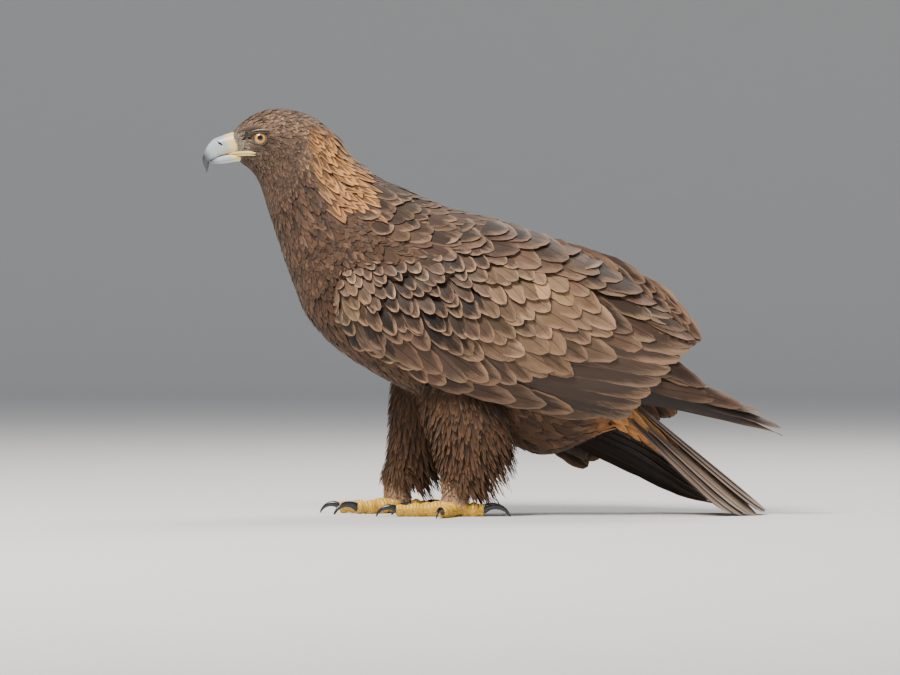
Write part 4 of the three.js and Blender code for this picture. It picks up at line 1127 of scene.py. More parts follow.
class EAGLE_OT_body_feathers(bpy.types.Operator):
    """Cover the breast, flanks, back and belly in rounded feathers"""

    bl_idname = "eagle.body_feathers"
    bl_label = "Body Feathers"

    def execute(self, context):
        c = colours()
        body, mantle = Coat(), Coat()
        self.cover(body, c)
        self.mantle(mantle, c)
        material = feather_material("body_feather")
        body.build("body_feathers", material, "body_feathers")
        mantle.build("mantle_feathers", material, "body_feathers")
        return {"FINISHED"}

    def cover(self, coat, c):
        """Rounded feathers all round the body, broader on the back and short over the tail's root."""
        section, angle = scatter_rows((8.6, 16.7), (8.6, 7.2), (-90, 270))
        n = len(section)
        back = smooth(np.sin(angle), 0.1, 0.7)
        length = sizes().body_feather / MM * (0.85 + 1.1 * back) * vary(n, 0.12)
        length = length * (1 + 0.3 * smooth(section, 13, 16)) * (1 - 0.6 * back * smooth(section, 14.2, 16.0))
        width = (13 + 13 * back) * vary(n, 0.1)
        belly = tinted(blend(c.umber, c.chestnut, rng.uniform(0.1, 1.0, n)), n, 0.26)
        upper = tinted(blend(c.umber, c.covert, rng.uniform(0.2, 1.0, n)), n, 0.2)
        x, _, z = np.moveaxis(body_point(section, angle), -1, 0)
        rusty = smooth(x, *VENT_X) * (1 - smooth(z, *VENT_Z))
        ground = blend(blend(belly, upper, back), tinted(c.rust, n, 0.22), rusty)
        rim = blend(blend(ground, c.chestnut, 0.6), tinted(blend(c.edge, c.covert, 0.55), n, 0.2), back)
        cover_body(coat, SOFT, section, angle, length, width, (-3.2, 1.6 + 0.6 * back),
                   rng.normal(0, 0.14, n), 0.7, ground, rim)

    def mantle(self, coat, c):
        """Broad feathers of the mantle and between the wings, which stand as high as the wings do."""
        section, angle = scatter_rows((8.5, 15.6), (16, 14), (22, 158))
        n = len(section)
        middle = smooth(np.sin(angle), 0.78, 0.95)
        length = (44 + 16 * smooth(section, 10, 13)) * vary(n, 0.1)
        ground = tinted(blend(c.umber, c.covert, rng.uniform(0.2, 1.0, n)), n, 0.2)
        rim = blend(ground * 1.5, tinted(c.edge, n, 0.2), rng.uniform(0.1, 0.45, n))
        high = 4.4 + 4.6 * smooth(section, 9.8, 11.5) * middle
        cover_body(coat, COVERT, section, angle, length, 25 * vary(n, 0.1), (-1.0, high),
                   rng.normal(0, 0.08, n), 0.8, ground, rim)


def bleached_share(points):
    """How worn a covert is: a tan patch over the middle of the wing, paler towards its upper edge."""
    share = 0
    for x, z, long, tall, worn in WORN_PATCHES:
        share = share + worn * np.exp(-(((points[:, 0] - x) / long) ** 2 + ((points[:, 1] - z) / tall) ** 2))
    return np.clip(share, 0, 1)


def tier(row):
    """Roots, tips and widths of a row of feathers along a curve, which turn and grow towards its end."""
    count = row["count"]
    share = np.linspace(0, 1, count) ** 1.15
    tip = row_at(np.asarray(row["tips"], float), share * (len(row["tips"]) - 1))
    tip = tip + rng.normal(0, 3.8, tip.shape)
    lies = np.asarray(row["lies"], float)[:, None]
    lie = row_at(lies, share * (len(lies) - 1))[:, 0] * DEG + rng.normal(0, 0.12, count)
    start, end = row["length"]
    long = (start + (end - start) * share) * vary(count, 0.09)
    root = tip + np.stack([-long * np.cos(lie), long * np.sin(lie)], axis=-1)
    for ends, clear in ((root, 7), (tip, 1)):
        edge = np.interp(ends[:, 0], WING[:, 2], WING[:, 3]) - clear + row.get("beyond", 0)
        ends[:, 1] = np.minimum(ends[:, 1], edge)
    start, end = row["width"]
    return root, tip, (start + (end - start) * share) * vary(count, 0.08)


# Worn patches of the wing: middle x and z, half sizes, and how worn each is.
WORN_PATCHES = ((128, 285, 52, 34, 1), (105, 225, 70, 22, 0.35), (-112, 290, 22, 40, 0.35))
# Tiers of the wing from the bottom up. Tips are x and z in the side view and lies are degrees below level.
# Length and width are of the first and the last feather, high is how far the tips stand off, pale is how
# light their edges are, dark is how dark their middles are. Where they are given, a factor of painted shade
# darkens the row on the right wing, which lies in shadow under the body, and beyond is how far its feathers
# may pass the wing's upper edge.
COVERT_ROWS = [
    {"tips": [[302, 178], [332, 170], [358, 159], [386, 144]], "lies": [22, 20, 18, 16], "count": 5,
     "length": (104, 96), "width": (25, 20), "high": 0.4, "pale": 0.12, "dark": 0.95},
    {"tips": [[36, 164], [92, 151], [148, 142], [204, 136], [246, 136]], "lies": [26, 20, 14, 10, 8],
     "count": 7, "length": (92, 112), "width": (27, 26), "high": 0.8, "pale": 0.3, "dark": 0.8, "far": 0.35},
    {"tips": [[-127, 268], [-118, 246], [-100, 226], [-74, 208], [-36, 190], [10, 170]],
     "lies": [74, 62, 50, 40, 33, 28], "count": 13, "length": (22, 44), "width": (12, 22), "high": 1.8,
     "pale": 0.7, "dark": 0.5},
    {"tips": [[-70, 212], [-63, 206], [-6, 189], [58, 173], [96, 170], [140, 176], [192, 196]],
     "lies": [60, 55, 42, 34, 30, 32, 34], "count": 15, "length": (64, 98), "width": (24, 37), "high": 3.0,
     "pale": 0.45, "dark": 0.55},
    {"tips": [[150, 184], [196, 196], [236, 208], [270, 222], [296, 238]], "lies": [32, 31, 31, 33, 36],
     "count": 7, "length": (96, 104), "width": (34, 34), "high": 3.4, "pale": 0.5, "dark": 0.35},
    {"tips": [[-90, 246], [-37, 220], [6, 214], [52, 204], [96, 200], [150, 208], [214, 232]],
     "lies": [66, 58, 52, 46, 40, 38, 36], "count": 18, "length": (44, 74), "width": (18, 33), "high": 4.2,
     "pale": 0.55, "dark": 0.7},
    {"tips": [[176, 240], [216, 240], [252, 244], [286, 244], [316, 236]], "lies": [34, 32, 32, 34, 38],
     "count": 7, "length": (88, 104), "width": (32, 34), "high": 4.6, "pale": 0.5, "dark": 0.4},
    {"tips": [[-98, 263], [-40, 239], [6, 236], [52, 229], [96, 224], [145, 234], [206, 258]],
     "lies": [66, 58, 52, 48, 44, 42, 40], "count": 19, "length": (34, 64), "width": (15, 31), "high": 5.4,
     "pale": 0.7, "dark": 0.8},
    {"tips": [[-106, 279], [-66, 262], [-12, 256], [40, 255], [84, 250], [128, 257], [190, 280]],
     "lies": [66, 60, 54, 48, 46, 42], "count": 20, "length": (28, 54), "width": (13, 28), "high": 6.2,
     "pale": 0.75, "dark": 0.7},
    {"tips": [[-111, 293], [-66, 278], [-12, 274], [40, 275], [84, 271], [128, 277], [176, 298]],
     "lies": [64, 56, 50, 46, 44, 40], "count": 20, "length": (25, 48), "width": (12, 26), "high": 7.0,
     "pale": 0.8, "dark": 0.5},
    {"tips": [[-115, 305], [-66, 293], [-12, 291], [40, 294], [84, 292], [134, 298]],
     "lies": [62, 54, 46, 42, 38], "count": 19, "length": (23, 42), "width": (11, 23), "high": 7.5,
     "pale": 0.75, "dark": 0.5},
    {"tips": [[-114, 317], [-66, 308], [-12, 308], [40, 312], [100, 314]], "lies": [58, 50, 42, 38, 34],
     "count": 17, "length": (22, 38), "width": (11, 21), "high": 8.0, "pale": 0.7, "dark": 0.4},
    {"tips": [[-109, 328], [-66, 322], [-12, 325], [54, 331]], "lies": [52, 46, 40, 34],
     "count": 14, "length": (21, 34), "width": (10.5, 19), "high": 8.4, "pale": 0.6, "dark": 0.4},
    {"tips": [[-99, 339], [-60, 336], [4, 343]], "lies": [48, 42, 36],
     "count": 10, "length": (20, 30), "width": (10, 17), "high": 8.6, "pale": 0.5, "dark": 0.4},
]
# Rows of the shoulder and of the inner wing's back edge, which lie over the others.
SCAPULAR_ROWS = [
    {"tips": [[262, 300], [284, 288], [304, 274], [322, 258], [336, 242]], "lies": [30, 33, 37, 41, 45],
     "count": 9, "length": (74, 84), "width": (20, 22), "high": 4.2, "pale": 0.5, "dark": 0.6, "beyond": 22},
    {"tips": [[226, 312], [256, 298], [284, 280], [308, 262], [328, 244]], "lies": [26, 29, 33, 37, 41],
     "count": 9, "length": (80, 92), "width": (25, 27), "high": 5.0, "pale": 0.4, "dark": 0.5, "beyond": 9},
    {"tips": [[206, 306], [240, 292], [272, 272], [300, 252], [324, 232]], "lies": [22, 25, 29, 34, 38],
     "count": 8, "length": (84, 100), "width": (33, 33), "high": 5.6, "pale": 0.45, "dark": 0.55},
    {"tips": [[60, 340], [110, 328], [150, 314], [196, 296], [236, 276]], "lies": [22, 24, 28, 32, 36],
     "count": 8, "length": (80, 92), "width": (30, 34), "high": 8.0, "pale": 0.4, "dark": 0.6},
    {"tips": [[10, 350], [60, 352], [120, 341], [170, 322], [226, 298], [256, 280]],
     "lies": [18, 20, 24, 28, 32, 34], "count": 9, "length": (68, 86), "width": (26, 32), "high": 9.2,
     "pale": 0.35, "dark": 0.6},
    {"tips": [[-30, 352], [30, 362], [96, 356], [150, 338], [206, 314]], "lies": [16, 18, 22, 26, 30],
     "count": 9, "length": (56, 72), "width": (23, 28), "high": 10.2, "pale": 0.3, "dark": 0.6},
]


def add_coverts(coat, side):
    """Every tier of one wing's coverts and scapulars."""
    c = colours()
    for row in (*COVERT_ROWS, *SCAPULAR_ROWS):
        count = row["count"]
        root, tip, wide = tier(row)
        lift = row["high"] + rng.uniform(-0.6, 1.3, count)
        vanes = wing_vanes(COVERT, root, tip, wide, -3.0, lift, rng.normal(0.7, 0.5, count))
        dark = np.clip(rng.normal(row["dark"] - 0.1, 0.42, count), 0, 1)
        worn = bleached_share((root + tip) / 2) * rng.uniform(0.6, 1.1, count)
        worn = np.clip(worn, 0, 1) * (1 - 0.5 * dark)
        ground = blend(tinted(c.covert, count, 0.18), tinted(c.umber, count, 0.2) * 0.5, dark)
        ground = blend(ground, tinted(c.bleached, count), worn)
        pale = np.clip(row["pale"] * rng.uniform(0.55, 1.15, count), 0, 1)
        rim = blend(tinted(c.covert, count, 0.12) * 1.5, tinted(c.edge, count, 0.15), pale)
        rim = blend(rim, tinted(c.bleached, count, 0.12), worn * 0.7)
        # Painted shade: on the right wing, the colours of the row in shadow under the body are darkened by its
        # factor.
        far = row.get("far", 1) if side == RIGHT else 1
        coat.add(COVERT, *on_side(vanes, side), 0.8, ground * far, rim * far, wing_uv(root))


def on_side(vanes, side):
    """The points and normals of a wing's vanes, placed and mirrored for the right one."""
    points, normals = vanes
    return place_wing(points, side), normals * np.array([1, -side, 1])


# Tips of the flight feathers in the side view, and the ends of the lines that their roots lie on.
SECONDARY_TIPS = np.array([[246, 133], [258, 146], [270, 160], [283, 174], [295, 188], [308, 201], [320, 212],
                           [330, 219], [337, 224], [336, 232], [324, 246], [308, 264]], dtype=float)
SECONDARY_ROOTS = np.array([[84, 160], [166, 322]], dtype=float)
PRIMARY_TIPS = np.array([[320, 180], [348, 168], [380, 155], [418, 138], [446, 119], [442, 104], [420, 107]],
                        dtype=float)
PRIMARY_ROOTS = np.array([[182, 196], [184, 160]], dtype=float)


def strips(count, first, total):
    """Separate long strips of the texture, one for each flight feather: their middles and their size."""
    rows = first + np.arange(count)
    return np.stack([np.full(count, 0.5), (rows + 0.5) / total], axis=-1), (0.96, 0.9 / total)


class EAGLE_OT_wings(bpy.types.Operator):
    """Build both folded wings: flight feathers, coverts in tiers and scapulars over a soft shell"""

    bl_idname = "eagle.wings"
    bl_label = "Wings"

    def execute(self, context):
        c = colours()
        covert_look = feather_material("wing_covert")
        flight_look = feather_material("flight_feather")
        shell_look = skin_material("wing_down", c.umber, c.covert)
        for side, label in SIDES:
            coverts = Coat()
            add_coverts(coverts, side)
            coverts.build(f"wing_{label}_coverts", covert_look, "wing_coverts", f"wing_{label}_arm")
            flights = Coat()
            self.secondaries(flights, side, c)
            self.primaries(flights, side, c)
            flights.build(f"wing_{label}_flights", flight_look, "flight_feathers", f"wing_{label}_hand")
            finish_piece(self.shell(side), f"wing_{label}_shell", shell_look, "wing_coverts")
        return {"FINISHED"}

    def secondaries(self, coat, side, c):
        """Broad flight feathers of the arm, paler towards the body."""
        count = len(SECONDARY_TIPS)
        share = np.linspace(0, 1, count)
        roots = row_at(SECONDARY_ROOTS, share)
        vanes = wing_vanes(FLIGHT, roots, SECONDARY_TIPS, 34, -6, 1.4 + share, 1.5, bow=7, ease=3)
        ground = tinted(blend(c.flight, c.covert, 0.5 + 0.5 * share), count, 0.14)
        rim = blend(ground, tinted(c.edge, count, 0.1), 0.45 + 0.2 * share)
        coat.add(FLIGHT, *on_side(vanes, side), sizes().vane_thickness / MM, ground, rim,
                 *strips(count, 0, count + len(PRIMARY_TIPS)))

    def primaries(self, coat, side, c):
        """Narrow, pointed flight feathers of the hand, each lower than the last."""
        count = len(PRIMARY_TIPS)
        step = np.arange(count)
        roots = row_at(PRIMARY_ROOTS, step / (count - 1))
        low, high = -13 - 0.6 * step, -2.2 - 1.5 * step
        vanes = wing_vanes(POINTED, roots, PRIMARY_TIPS, 25, low, high, 1.5, bow=5, ease=1)
        ground = tinted(c.flight, count)
        # The rims are partly the primaries' own pale edges and partly a painted sheen of light along them.
        rim = blend(ground, c.edge, 0.42)
        coat.add(POINTED, *on_side(vanes, side), sizes().vane_thickness / MM, ground, rim,
                 *strips(count, len(SECONDARY_TIPS), count + len(SECONDARY_TIPS)))

    def shell(self, side):
        """The soft inside of the wing under its coverts."""
        first, last, across = 0.2, 7.4, 14
        edge = np.sin(np.linspace(0, 1, across) * math.pi)[:, None] ** 0.5
        rings = []
        for section in np.linspace(first, last, 26):
            x, z = wing_section_point(np.full(across, section), np.linspace(0.03, 0.97, across))
            points, normals = wing_point(x, z), wing_normal(x, z)
            depth = 5 + 16 * math.sin(section / last * math.pi) ** 0.7
            inner = points - normals * (5 + depth * edge)
            rings.append(place_wing(np.concatenate([points - normals * 2.6, inner[::-1]]), side))
        return mesh_of(loft(rings))


class EAGLE_OT_tail(bpy.types.Operator):
    """Build the closed tail, its coverts above and the rusty coverts below"""

    bl_idname = "eagle.tail"
    bl_label = "Tail"

    def execute(self, context):
        self.feathers(colours())
        self.coverts(colours())
        return {"FINISHED"}

    def feathers(self, c):
        """Pairs of long feathers, each lying under the one before it."""
        tail = Coat()
        for k in range(TAIL["pairs"]):
            for side in (LEFT, RIGHT):
                points, normals = self.feather(side, k)
                points[..., 2] = np.maximum(points[..., 2], GROUND_CLEAR)
                ground = tinted(blend(c.tail, c.edge, 0.12), 1, 0.2)
                strip = strips(1, 2 * k + (side == RIGHT), 2 * TAIL["pairs"])
                tail.add(FLIGHT, points, normals, sizes().vane_thickness / MM, ground,
                         blend(ground, TAIL["rim"], 0.6), *strip)
        look = feather_material("tail_feather")
        tail.build("tail_feathers", look, "tail_feathers", "tail")

    def feather(self, side, k):
        """One of the feathers, counted from the middle."""
        sideways = np.array([0, side, 0])
        tilt = TAIL["tilt"] * min(1, 0.35 + k * 0.2)
        normal = TAIL_UP * math.cos(tilt) + sideways * math.sin(tilt)
        across = sideways * math.cos(tilt) - TAIL_UP * math.sin(tilt)
        length = TAIL["length"] - 1.3 * k * k
        t, s = FLIGHT.t[:, None, None], FLIGHT.s[None, :, None]
        spread = 0.35 + 0.65 * t
        wide = TAIL["width"] / 2 * (0.6 + 0.4 * t) * FLIGHT.w[:, None, None]
        step = TAIL["steps"][k]
        lift = -TAIL["drop"] * step * spread - 1.3 * step - side * 0.7
        aside = (8 + TAIL["spread"] * k) * spread
        points = (np.array(TAIL["root"]) + TAIL_ALONG * length * t + TAIL_UP * lift + sideways * aside
                  + across * s * wide - normal * s ** 2 * wide * 0.06)
        return points[None], np.broadcast_to(normal, points.shape)[None]

    def coverts(self, c):
        """Soft feathers round the base of the tail, rusty below and brown above."""
        coat = Coat()
        t, s = SOFT.t[None, :, None, None], SOFT.s[None, None, :, None]
        for ring, (back, n) in enumerate(TAIL_COVERT_RINGS):
            turn = (np.arange(n) + 0.5 * (ring % 2)) / n * 2 * math.pi
            sine, cosine = np.sin(turn)[:, None], np.cos(turn)[:, None]
            out = TAIL_UP * sine + np.array([0, 1, 0]) * cosine
            wide, tall = 31 - ring * 2.6, 33 - ring * 4.6
            start = (np.array(TAIL["root"]) - TAIL_UP * 16 + TAIL_ALONG * back
                     + TAIL_UP * tall * sine + np.array([0, wide, 0]) * cosine)
            length = (58 + 4 * ring) * vary(n, 0.1)
            above = smooth(sine, -0.1, 0.6)[..., None, None]
            points = (start[:, None, None, :] + TAIL_ALONG * length[:, None, None, None] * t
                      + np.cross(TAIL_ALONG, out)[:, None, None, :] * s * 11 * SOFT.w[None, :, None, None]
                      + out[:, None, None, :] * (-2 + (2.5 - 0.6 * tall * above) * t - 0.8 * s ** 2))
            normals = np.broadcast_to(out[:, None, None, :], points.shape)
            below = smooth(-sine[:, 0], -0.35, 0.25)
            ground = blend(tinted(c.umber, n, 0.2), tinted(c.rust, n, 0.2), below)
            rim = blend(ground, tinted(c.gold, n, 0.2), 0.25 + 0.45 * below)
            root = np.stack([0.1 + 0.12 * ring + 0 * turn, 0.05 + 0.9 * turn / (2 * math.pi) % 1], axis=-1)
            coat.add(SOFT, points, normals, 0.7, ground, rim, root)
        look = feather_material("tail_covert")
        coat.build("tail_coverts", look, "tail_feathers")


class EAGLE_OT_legs(bpy.types.Operator):
    """Feather the legs down to the toes, with loose feathers behind"""

    bl_idname = "eagle.legs"
    bl_label = "Legs"

    def execute(self, context):
        c = colours()
        look = feather_material("leg_feather")
        for name, leg in LEGS.items():
            coat = Coat()
            for height in np.arange(0.0, 0.99, 0.035):
                self.thigh_row(coat, leg, height, c)
            for height in np.arange(-0.25, 0.98, 0.07):
                self.shank_row(coat, leg, max(height, 0.0), c)
            coat.build(f"leg_{name}_feathers", look, "leg_feathers", f"thigh_{name}", f"shank_{name}")
        return {"FINISHED"}

    def turns(self, count, spread):
        """Angles round a leg, from its rear over its right side, with a random start."""
        return (np.arange(count) + rng.uniform(0, 1)) / count * 2 * math.pi + rng.normal(0, spread, count)

    def hang(self, coat, start, turn, length, width, flare, sway, ground, rim, along):
        """Vanes that hang down from their roots, stand away from the leg and sway back."""
        out = np.stack([np.cos(turn), np.sin(turn), 0 * turn], axis=-1)
        side = unit(np.cross(out, UP))
        start, out, side = (vectors[:, None, None, :] for vectors in (start, out, side))
        length, width, flare, sway = (each(values, len(turn))[..., None]
                                      for values in (length, width, flare, sway))
        t, s = WISP.t[None, :, None, None], WISP.s[None, None, :, None]
        push = out * (-2.5 + flare * t ** 1.3 - 0.5 * s ** 2)
        drop = -UP * length * t
        back = np.array([1.0, 0, 0]) * sway * t ** 2
        points = start + drop + push + back + side * s * (width / 2 * WISP.w[None, :, None, None])
        points[..., 2] = np.maximum(points[..., 2], LEAST_HEIGHT)
        root = np.stack([along + 0 * turn, (turn / (2 * math.pi)) % 1 * 0.94 + 0.03], axis=-1)
        coat.add(WISP, points, np.broadcast_to(out, points.shape), 0.6, ground, rim, root)

    def thigh_row(self, coat, leg, height, c):
        """A row of vanes round a thigh, which follow it where it widens below them."""
        count = 46
        turn = self.turns(count, 0.06)
        rear = (np.cos(turn) + 1) / 2
        start, (t, long, wide, behind) = thigh_ring(leg, height * (len(THIGH) - 1), turn, -2)
        start[:, 2] += rng.normal(0, 2.5, count)
        length = (17 + 9 * rear + 12 * height * rear ** 2) * vary(count, 0.22)
        ground = tinted(blend(c.umber, c.chestnut, rng.uniform(0.3, 0.9, count)), count)
        rim = blend(ground * 1.2, tinted(c.rust, count, 0.2), rng.uniform(0.05, 0.25, count))
        flare = 3.6 + (0.8 + 3.4 * rear * height) * rng.uniform(0.3, 1.3, count)
        (kx, _, kz), (ax, _, az) = leg["knee"], leg["ankle"]
        below = t + length / (kz - az)
        more_long, more_wide, more_behind = (np.interp(below, THIGH[:, 0], THIGH[:, i + 1]) - now
                                             for i, now in enumerate((long, wide, behind)))
        widening = (np.abs(np.cos(turn)) * more_long + np.abs(np.sin(turn)) * more_wide
                    + np.cos(turn) * (more_behind + (ax - kx) * (below - t)))
        flare = flare + 1.15 * np.maximum(widening, 0)
        width = (7.4 - 1.6 * height) * vary(count, 0.15)
        sway = 10 * rear * height * vary(count, 0.3)
        self.hang(coat, start, turn, length, width, flare, sway, ground, rim, 0.04 + 0.4 * height)

    def shank_row(self, coat, leg, height, c):
        """A row of short vanes round a shank, paler towards the toes."""
        count = 26
        turn = self.turns(count, 0.05)
        start = shank_ring(leg, height * (len(SHANK) - 1), turn, SHANK_FOOT + 4, 0, -2)
        length = 13 * vary(count, 0.18)
        buff = 0.25 + 0.55 * height
        ground = blend(tinted(c.chestnut, count, 0.2), tinted(c.edge, count, 0.2), buff * 0.7)
        rim = blend(ground, tinted(c.edge, count, 0.2) * 1.2, buff)
        width = 5.6 * vary(count, 0.12)
        self.hang(coat, start, turn, length, width, 3.6, 0.6, ground, rim, 0.5 + 0.45 * height)


def tapered(centres, frames, radii, squash, sides=20):
    """Rings of a bent, tapered tube."""
    turn = np.arange(sides) / sides * 2 * math.pi
    return [centre + np.outer(np.cos(turn), across) * radius * squash + np.outer(np.sin(turn), up) * radius
            for centre, (across, up), radius in zip(centres, frames, radii)]


class EAGLE_OT_feet(bpy.types.Operator):
    """Build the scaled yellow toes and the black claws"""

    bl_idname = "eagle.feet"
    bl_label = "Feet"

    def execute(self, context):
        skin = toe_material("toe_scales")
        horn = claw_material("claw_horn")
        for name, leg in LEGS.items():
            fx, fy = leg["foot"]
            bm = ball((fx - 3, fy, 11.5), (19, 16, 12.5), segments=28)
            axes = []
            for number, toe in TOES.items():
                heading = toe["heading"] * DEG * leg["side"]
                ahead = np.array([-math.cos(heading), math.sin(heading), 0])
                across = np.array([-ahead[1], ahead[0], 0])
                centres, rings = self.toe(toe, (fx, fy, 0), ahead, across)
                merge(bm, loft(rings))
                axes.append((centres, ahead))
                claw = f"claw_{name}_{number}"
                finish_piece(self.claw(toe, centres[-1], ahead, across), f"{claw}_horn", horn, "claw", claw)
            mesh = one_skin(bm, sizes().toe_voxel, 2)
            places = np.empty(len(mesh.vertices) * 3, dtype=np.float32)
            mesh.vertices.foreach_get("co", places)
            places[2::3] = np.maximum(places[2::3], 0.0)
            mesh.vertices.foreach_set("co", places)
            self.mark_scutes(mesh, places.reshape(-1, 3) / MM - SHIFT, axes)
            finish_piece(mesh, f"foot_{name}_skin", skin, "toe_skin", f"foot_{name}")
        return {"FINISHED"}

    def toe(self, toe, foot, ahead, across):
        """The middle line and the rings of a toe that swells at its joints."""
        share = np.linspace(0, 1, 37)
        radius = toe["thick"] * (1 + 0.15 * np.cos(share * 3 * 2 * math.pi)) * (1.1 - 0.24 * share)
        radius[-3:] *= np.array([0.95, 0.86, 0.7])
        height = 13 + (toe["thick"] * 0.9 - 13) * np.minimum(1, share * 2.2)
        centres = np.array(foot) + np.outer(share * toe["length"], ahead) + np.outer(height, UP)
        return centres, tapered(centres, [(across, UP)] * len(share), radius, 1.0)

    def claw(self, toe, end, ahead, across):
        """A claw bent through part of a circle down to the ground."""
        sweep, lift = 118 * DEG, 34 * DEG
        radius = toe["claw"] / sweep
        share = np.linspace(-0.06, 1, 26)
        turned_by = lift - sweep * share
        run = radius * (math.sin(lift) - np.sin(turned_by))
        rise = radius * (np.cos(turned_by) - math.cos(lift)) + 1.2
        centres = end + np.outer(run, ahead) + np.outer(rise, UP)
        frames = [(across, UP * math.cos(a) - ahead * math.sin(a)) for a in turned_by]
        thick = toe["claw_thick"] + (0.35 - toe["claw_thick"]) * np.clip(share, 0, 1) ** 1.15
        bm = loft(tapered(centres, frames, np.maximum(thick, 0.3), 0.82))
        for vert in bm.verts:
            vert.co.z = max(vert.co.z, 0.0)
        return mesh_of(bm)

    def mark_scutes(self, mesh, points, axes):
        """Gives each vertex its place along the nearest toe, counted in scutes, and how far up it lies."""
        nearest = np.full(len(points), 1e9)
        place = np.zeros((len(points), 3))
        for number, (centres, ahead) in enumerate(axes):
            distance = np.linalg.norm(points[:, None, :] - centres[None, ::3, :], axis=-1)
            closest, away = distance.argmin(axis=1), distance.min(axis=1)
            rise = points[:, 2] - centres[::3, 2][closest]
            along = (points - centres[0]) @ ahead / SCUTE_LENGTH + number * 40
            here = np.stack([along, rise / np.maximum(away, 1), away], axis=-1)
            place[away < nearest] = here[away < nearest]
            nearest = np.minimum(nearest, away)
        mark(mesh, "scute", "FLOAT_VECTOR", place)


class EAGLE_OT_bill(bpy.types.Operator):
    """Build the hooked bill with its cere, nostrils and gape"""

    bl_idname = "eagle.bill"
    bl_label = "Bill"

    def execute(self, context):
        look = horn_material("bill_horn")
        upper = self.drilled(mesh_of(loft(ring_points(BILL_UPPER, 5, 36, under=BILL_FLATNESS))))
        lower = mesh_of(loft(ring_points(BILL_LOWER, 5, 36, over=BILL_FLATNESS)))
        finish_piece(upper, "bill_upper_horn", look, "bill", "bill_upper")
        finish_piece(lower, "bill_lower_horn", look, "bill", "bill_lower")
        skin = gape_material("gape_skin")
        for side, label in SIDES:
            bm = face_tube(GAPE_PATH, side, GAPE_UPPER, 1.1, 0.3)
            merge(bm, face_tube(GAPE_PATH - [0, GAPE_STEP], side, GAPE_LOWER, 1.1, 0.1))
            finish_piece(mesh_of(bm), f"gape_{label}", skin, "bill")
        return {"FINISHED"}

    def drilled(self, mesh):
        """The upper bill with its two nostrils cut in."""
        cutter = bmesh.new()
        for side in (LEFT, RIGHT):
            place = (NOSTRIL["x"], side * NOSTRIL["y"], NOSTRIL["z"])
            merge(cutter, ball(place, NOSTRIL["size"], (0, NOSTRIL["turn"], 0)))
        holes = bpy.data.objects.new("pending_holes", mesh_of(cutter))
        bpy.context.scene.collection.objects.link(holes)
        settings = {"operation": "DIFFERENCE", "object": holes, "solver": "EXACT"}
        drilled = apply_modifiers(mesh, ("BOOLEAN", settings))
        bpy.data.objects.remove(holes)
        return drilled


def face_tube(path, side, radii, squash, out):
    """A tube that follows the face over a path in the side view, its middle a little way out."""
    steps = np.linspace(0, len(path) - 1, 31)
    line = row_at(path, steps)
    radii = row_at(np.array(radii)[:, None], steps)[:, 0]
    section, angle = np.meshgrid(np.linspace(-0.6, 4, 116), np.linspace(-80, 80, 121) * DEG)
    section, angle = section.ravel(), angle.ravel()
    grid = body_point(section, angle)
    nearest = np.argmin(((grid[None, :, [0, 2]] - line[:, None, :]) ** 2).sum(axis=-1), axis=1)
    depth = np.convolve(np.pad(grid[nearest, 1], 3, mode="edge"), np.ones(7) / 7, mode="valid")
    centres = np.stack([line[:, 0], depth - out, line[:, 1]], axis=-1)
    outward = unit(body_normal(section[nearest], angle[nearest]) * np.array([0.3, 1, 0.3]))
    up = unit(np.cross(unit(np.gradient(centres, axis=0)), outward))
    rings = tapered(centres, zip(outward, up), radii, squash, 14)
    return loft([ring * np.array([1, -side, 1]) for ring in rings])


class EAGLE_OT_eyes(bpy.types.Operator):
    """Build the eyes with iris, pupil and lids"""

    bl_idname = "eagle.eyes"
    bl_label = "Eyes"

    def execute(self, context):
        lid_look = skin_material("eyelid", (0.024, 0.019, 0.016), (0.11, 0.085, 0.055))
        brow_look = skin_material("brow_skin", (0.11, 0.085, 0.068), (0.30, 0.24, 0.18))
        # Near-black skin colours for the tube that stands for the shadow under the brow: painted shade.
        painted_shadow_look = skin_material("brow_painted_shadow", (0.020, 0.015, 0.013), (0.050, 0.038, 0.030))
        for side, label in SIDES:
            eye = mesh_of(ball((EYE[0], side * EYE[1], EYE[2]), [EYE_RADIUS] * 3, segments=64))
            finish_piece(eye, f"eye_{label}_ball", eye_material(f"eye_{label}", side), "eye", f"eye_{label}")
            finish_piece(self.lids(side), f"eyelid_{label}", lid_look, "body_feathers")
            brow = mesh_of(face_tube(BROW_UNDER + BROW_RISE, side, BROW_THICK, 2.6, 0.4))
            finish_piece(brow, f"brow_{label}", brow_look, "body_feathers")
            # A dark tube under the brow and over the top of the eye, painted as the brow's shadow.
            shade = mesh_of(face_tube(BROW_UNDER - [0, 0.7], side, BROW_SHADOW_THICK, 2.6, 0.2))
            finish_piece(shade, f"brow_painted_shadow_{label}", painted_shadow_look, "body_feathers")
        return {"FINISHED"}

    def lids(self, side):
        """A ring of skin round the opening, cut flatter above, where the brow lies over it."""
        rings = []
        for a in np.linspace(0, 2 * math.pi, 49)[:-1]:
            sine, cosine = math.sin(a), math.cos(a)
            flat = LID["above"] if sine > 0 else LID["below"]
            out = EYE[1] + LID["out"] + LID["lean"] * (sine + cosine)
            centre = (EYE[0] + LID["radius"] * cosine, side * out, EYE[2] + LID["radius"] * flat * sine)
            thick = LID["thick"] + LID["swell"] * abs(sine)
            rings += tapered([np.array(centre)], [((cosine, 0, sine), (0, side, 0))], [thick], 1.0, 10)
        bm = loft([*rings, rings[0]], closed_ends=False)
        bmesh.ops.remove_doubles(bm, verts=bm.verts, dist=1e-6)
        bmesh.ops.recalc_face_normals(bm, faces=bm.faces)
        return mesh_of(bm)


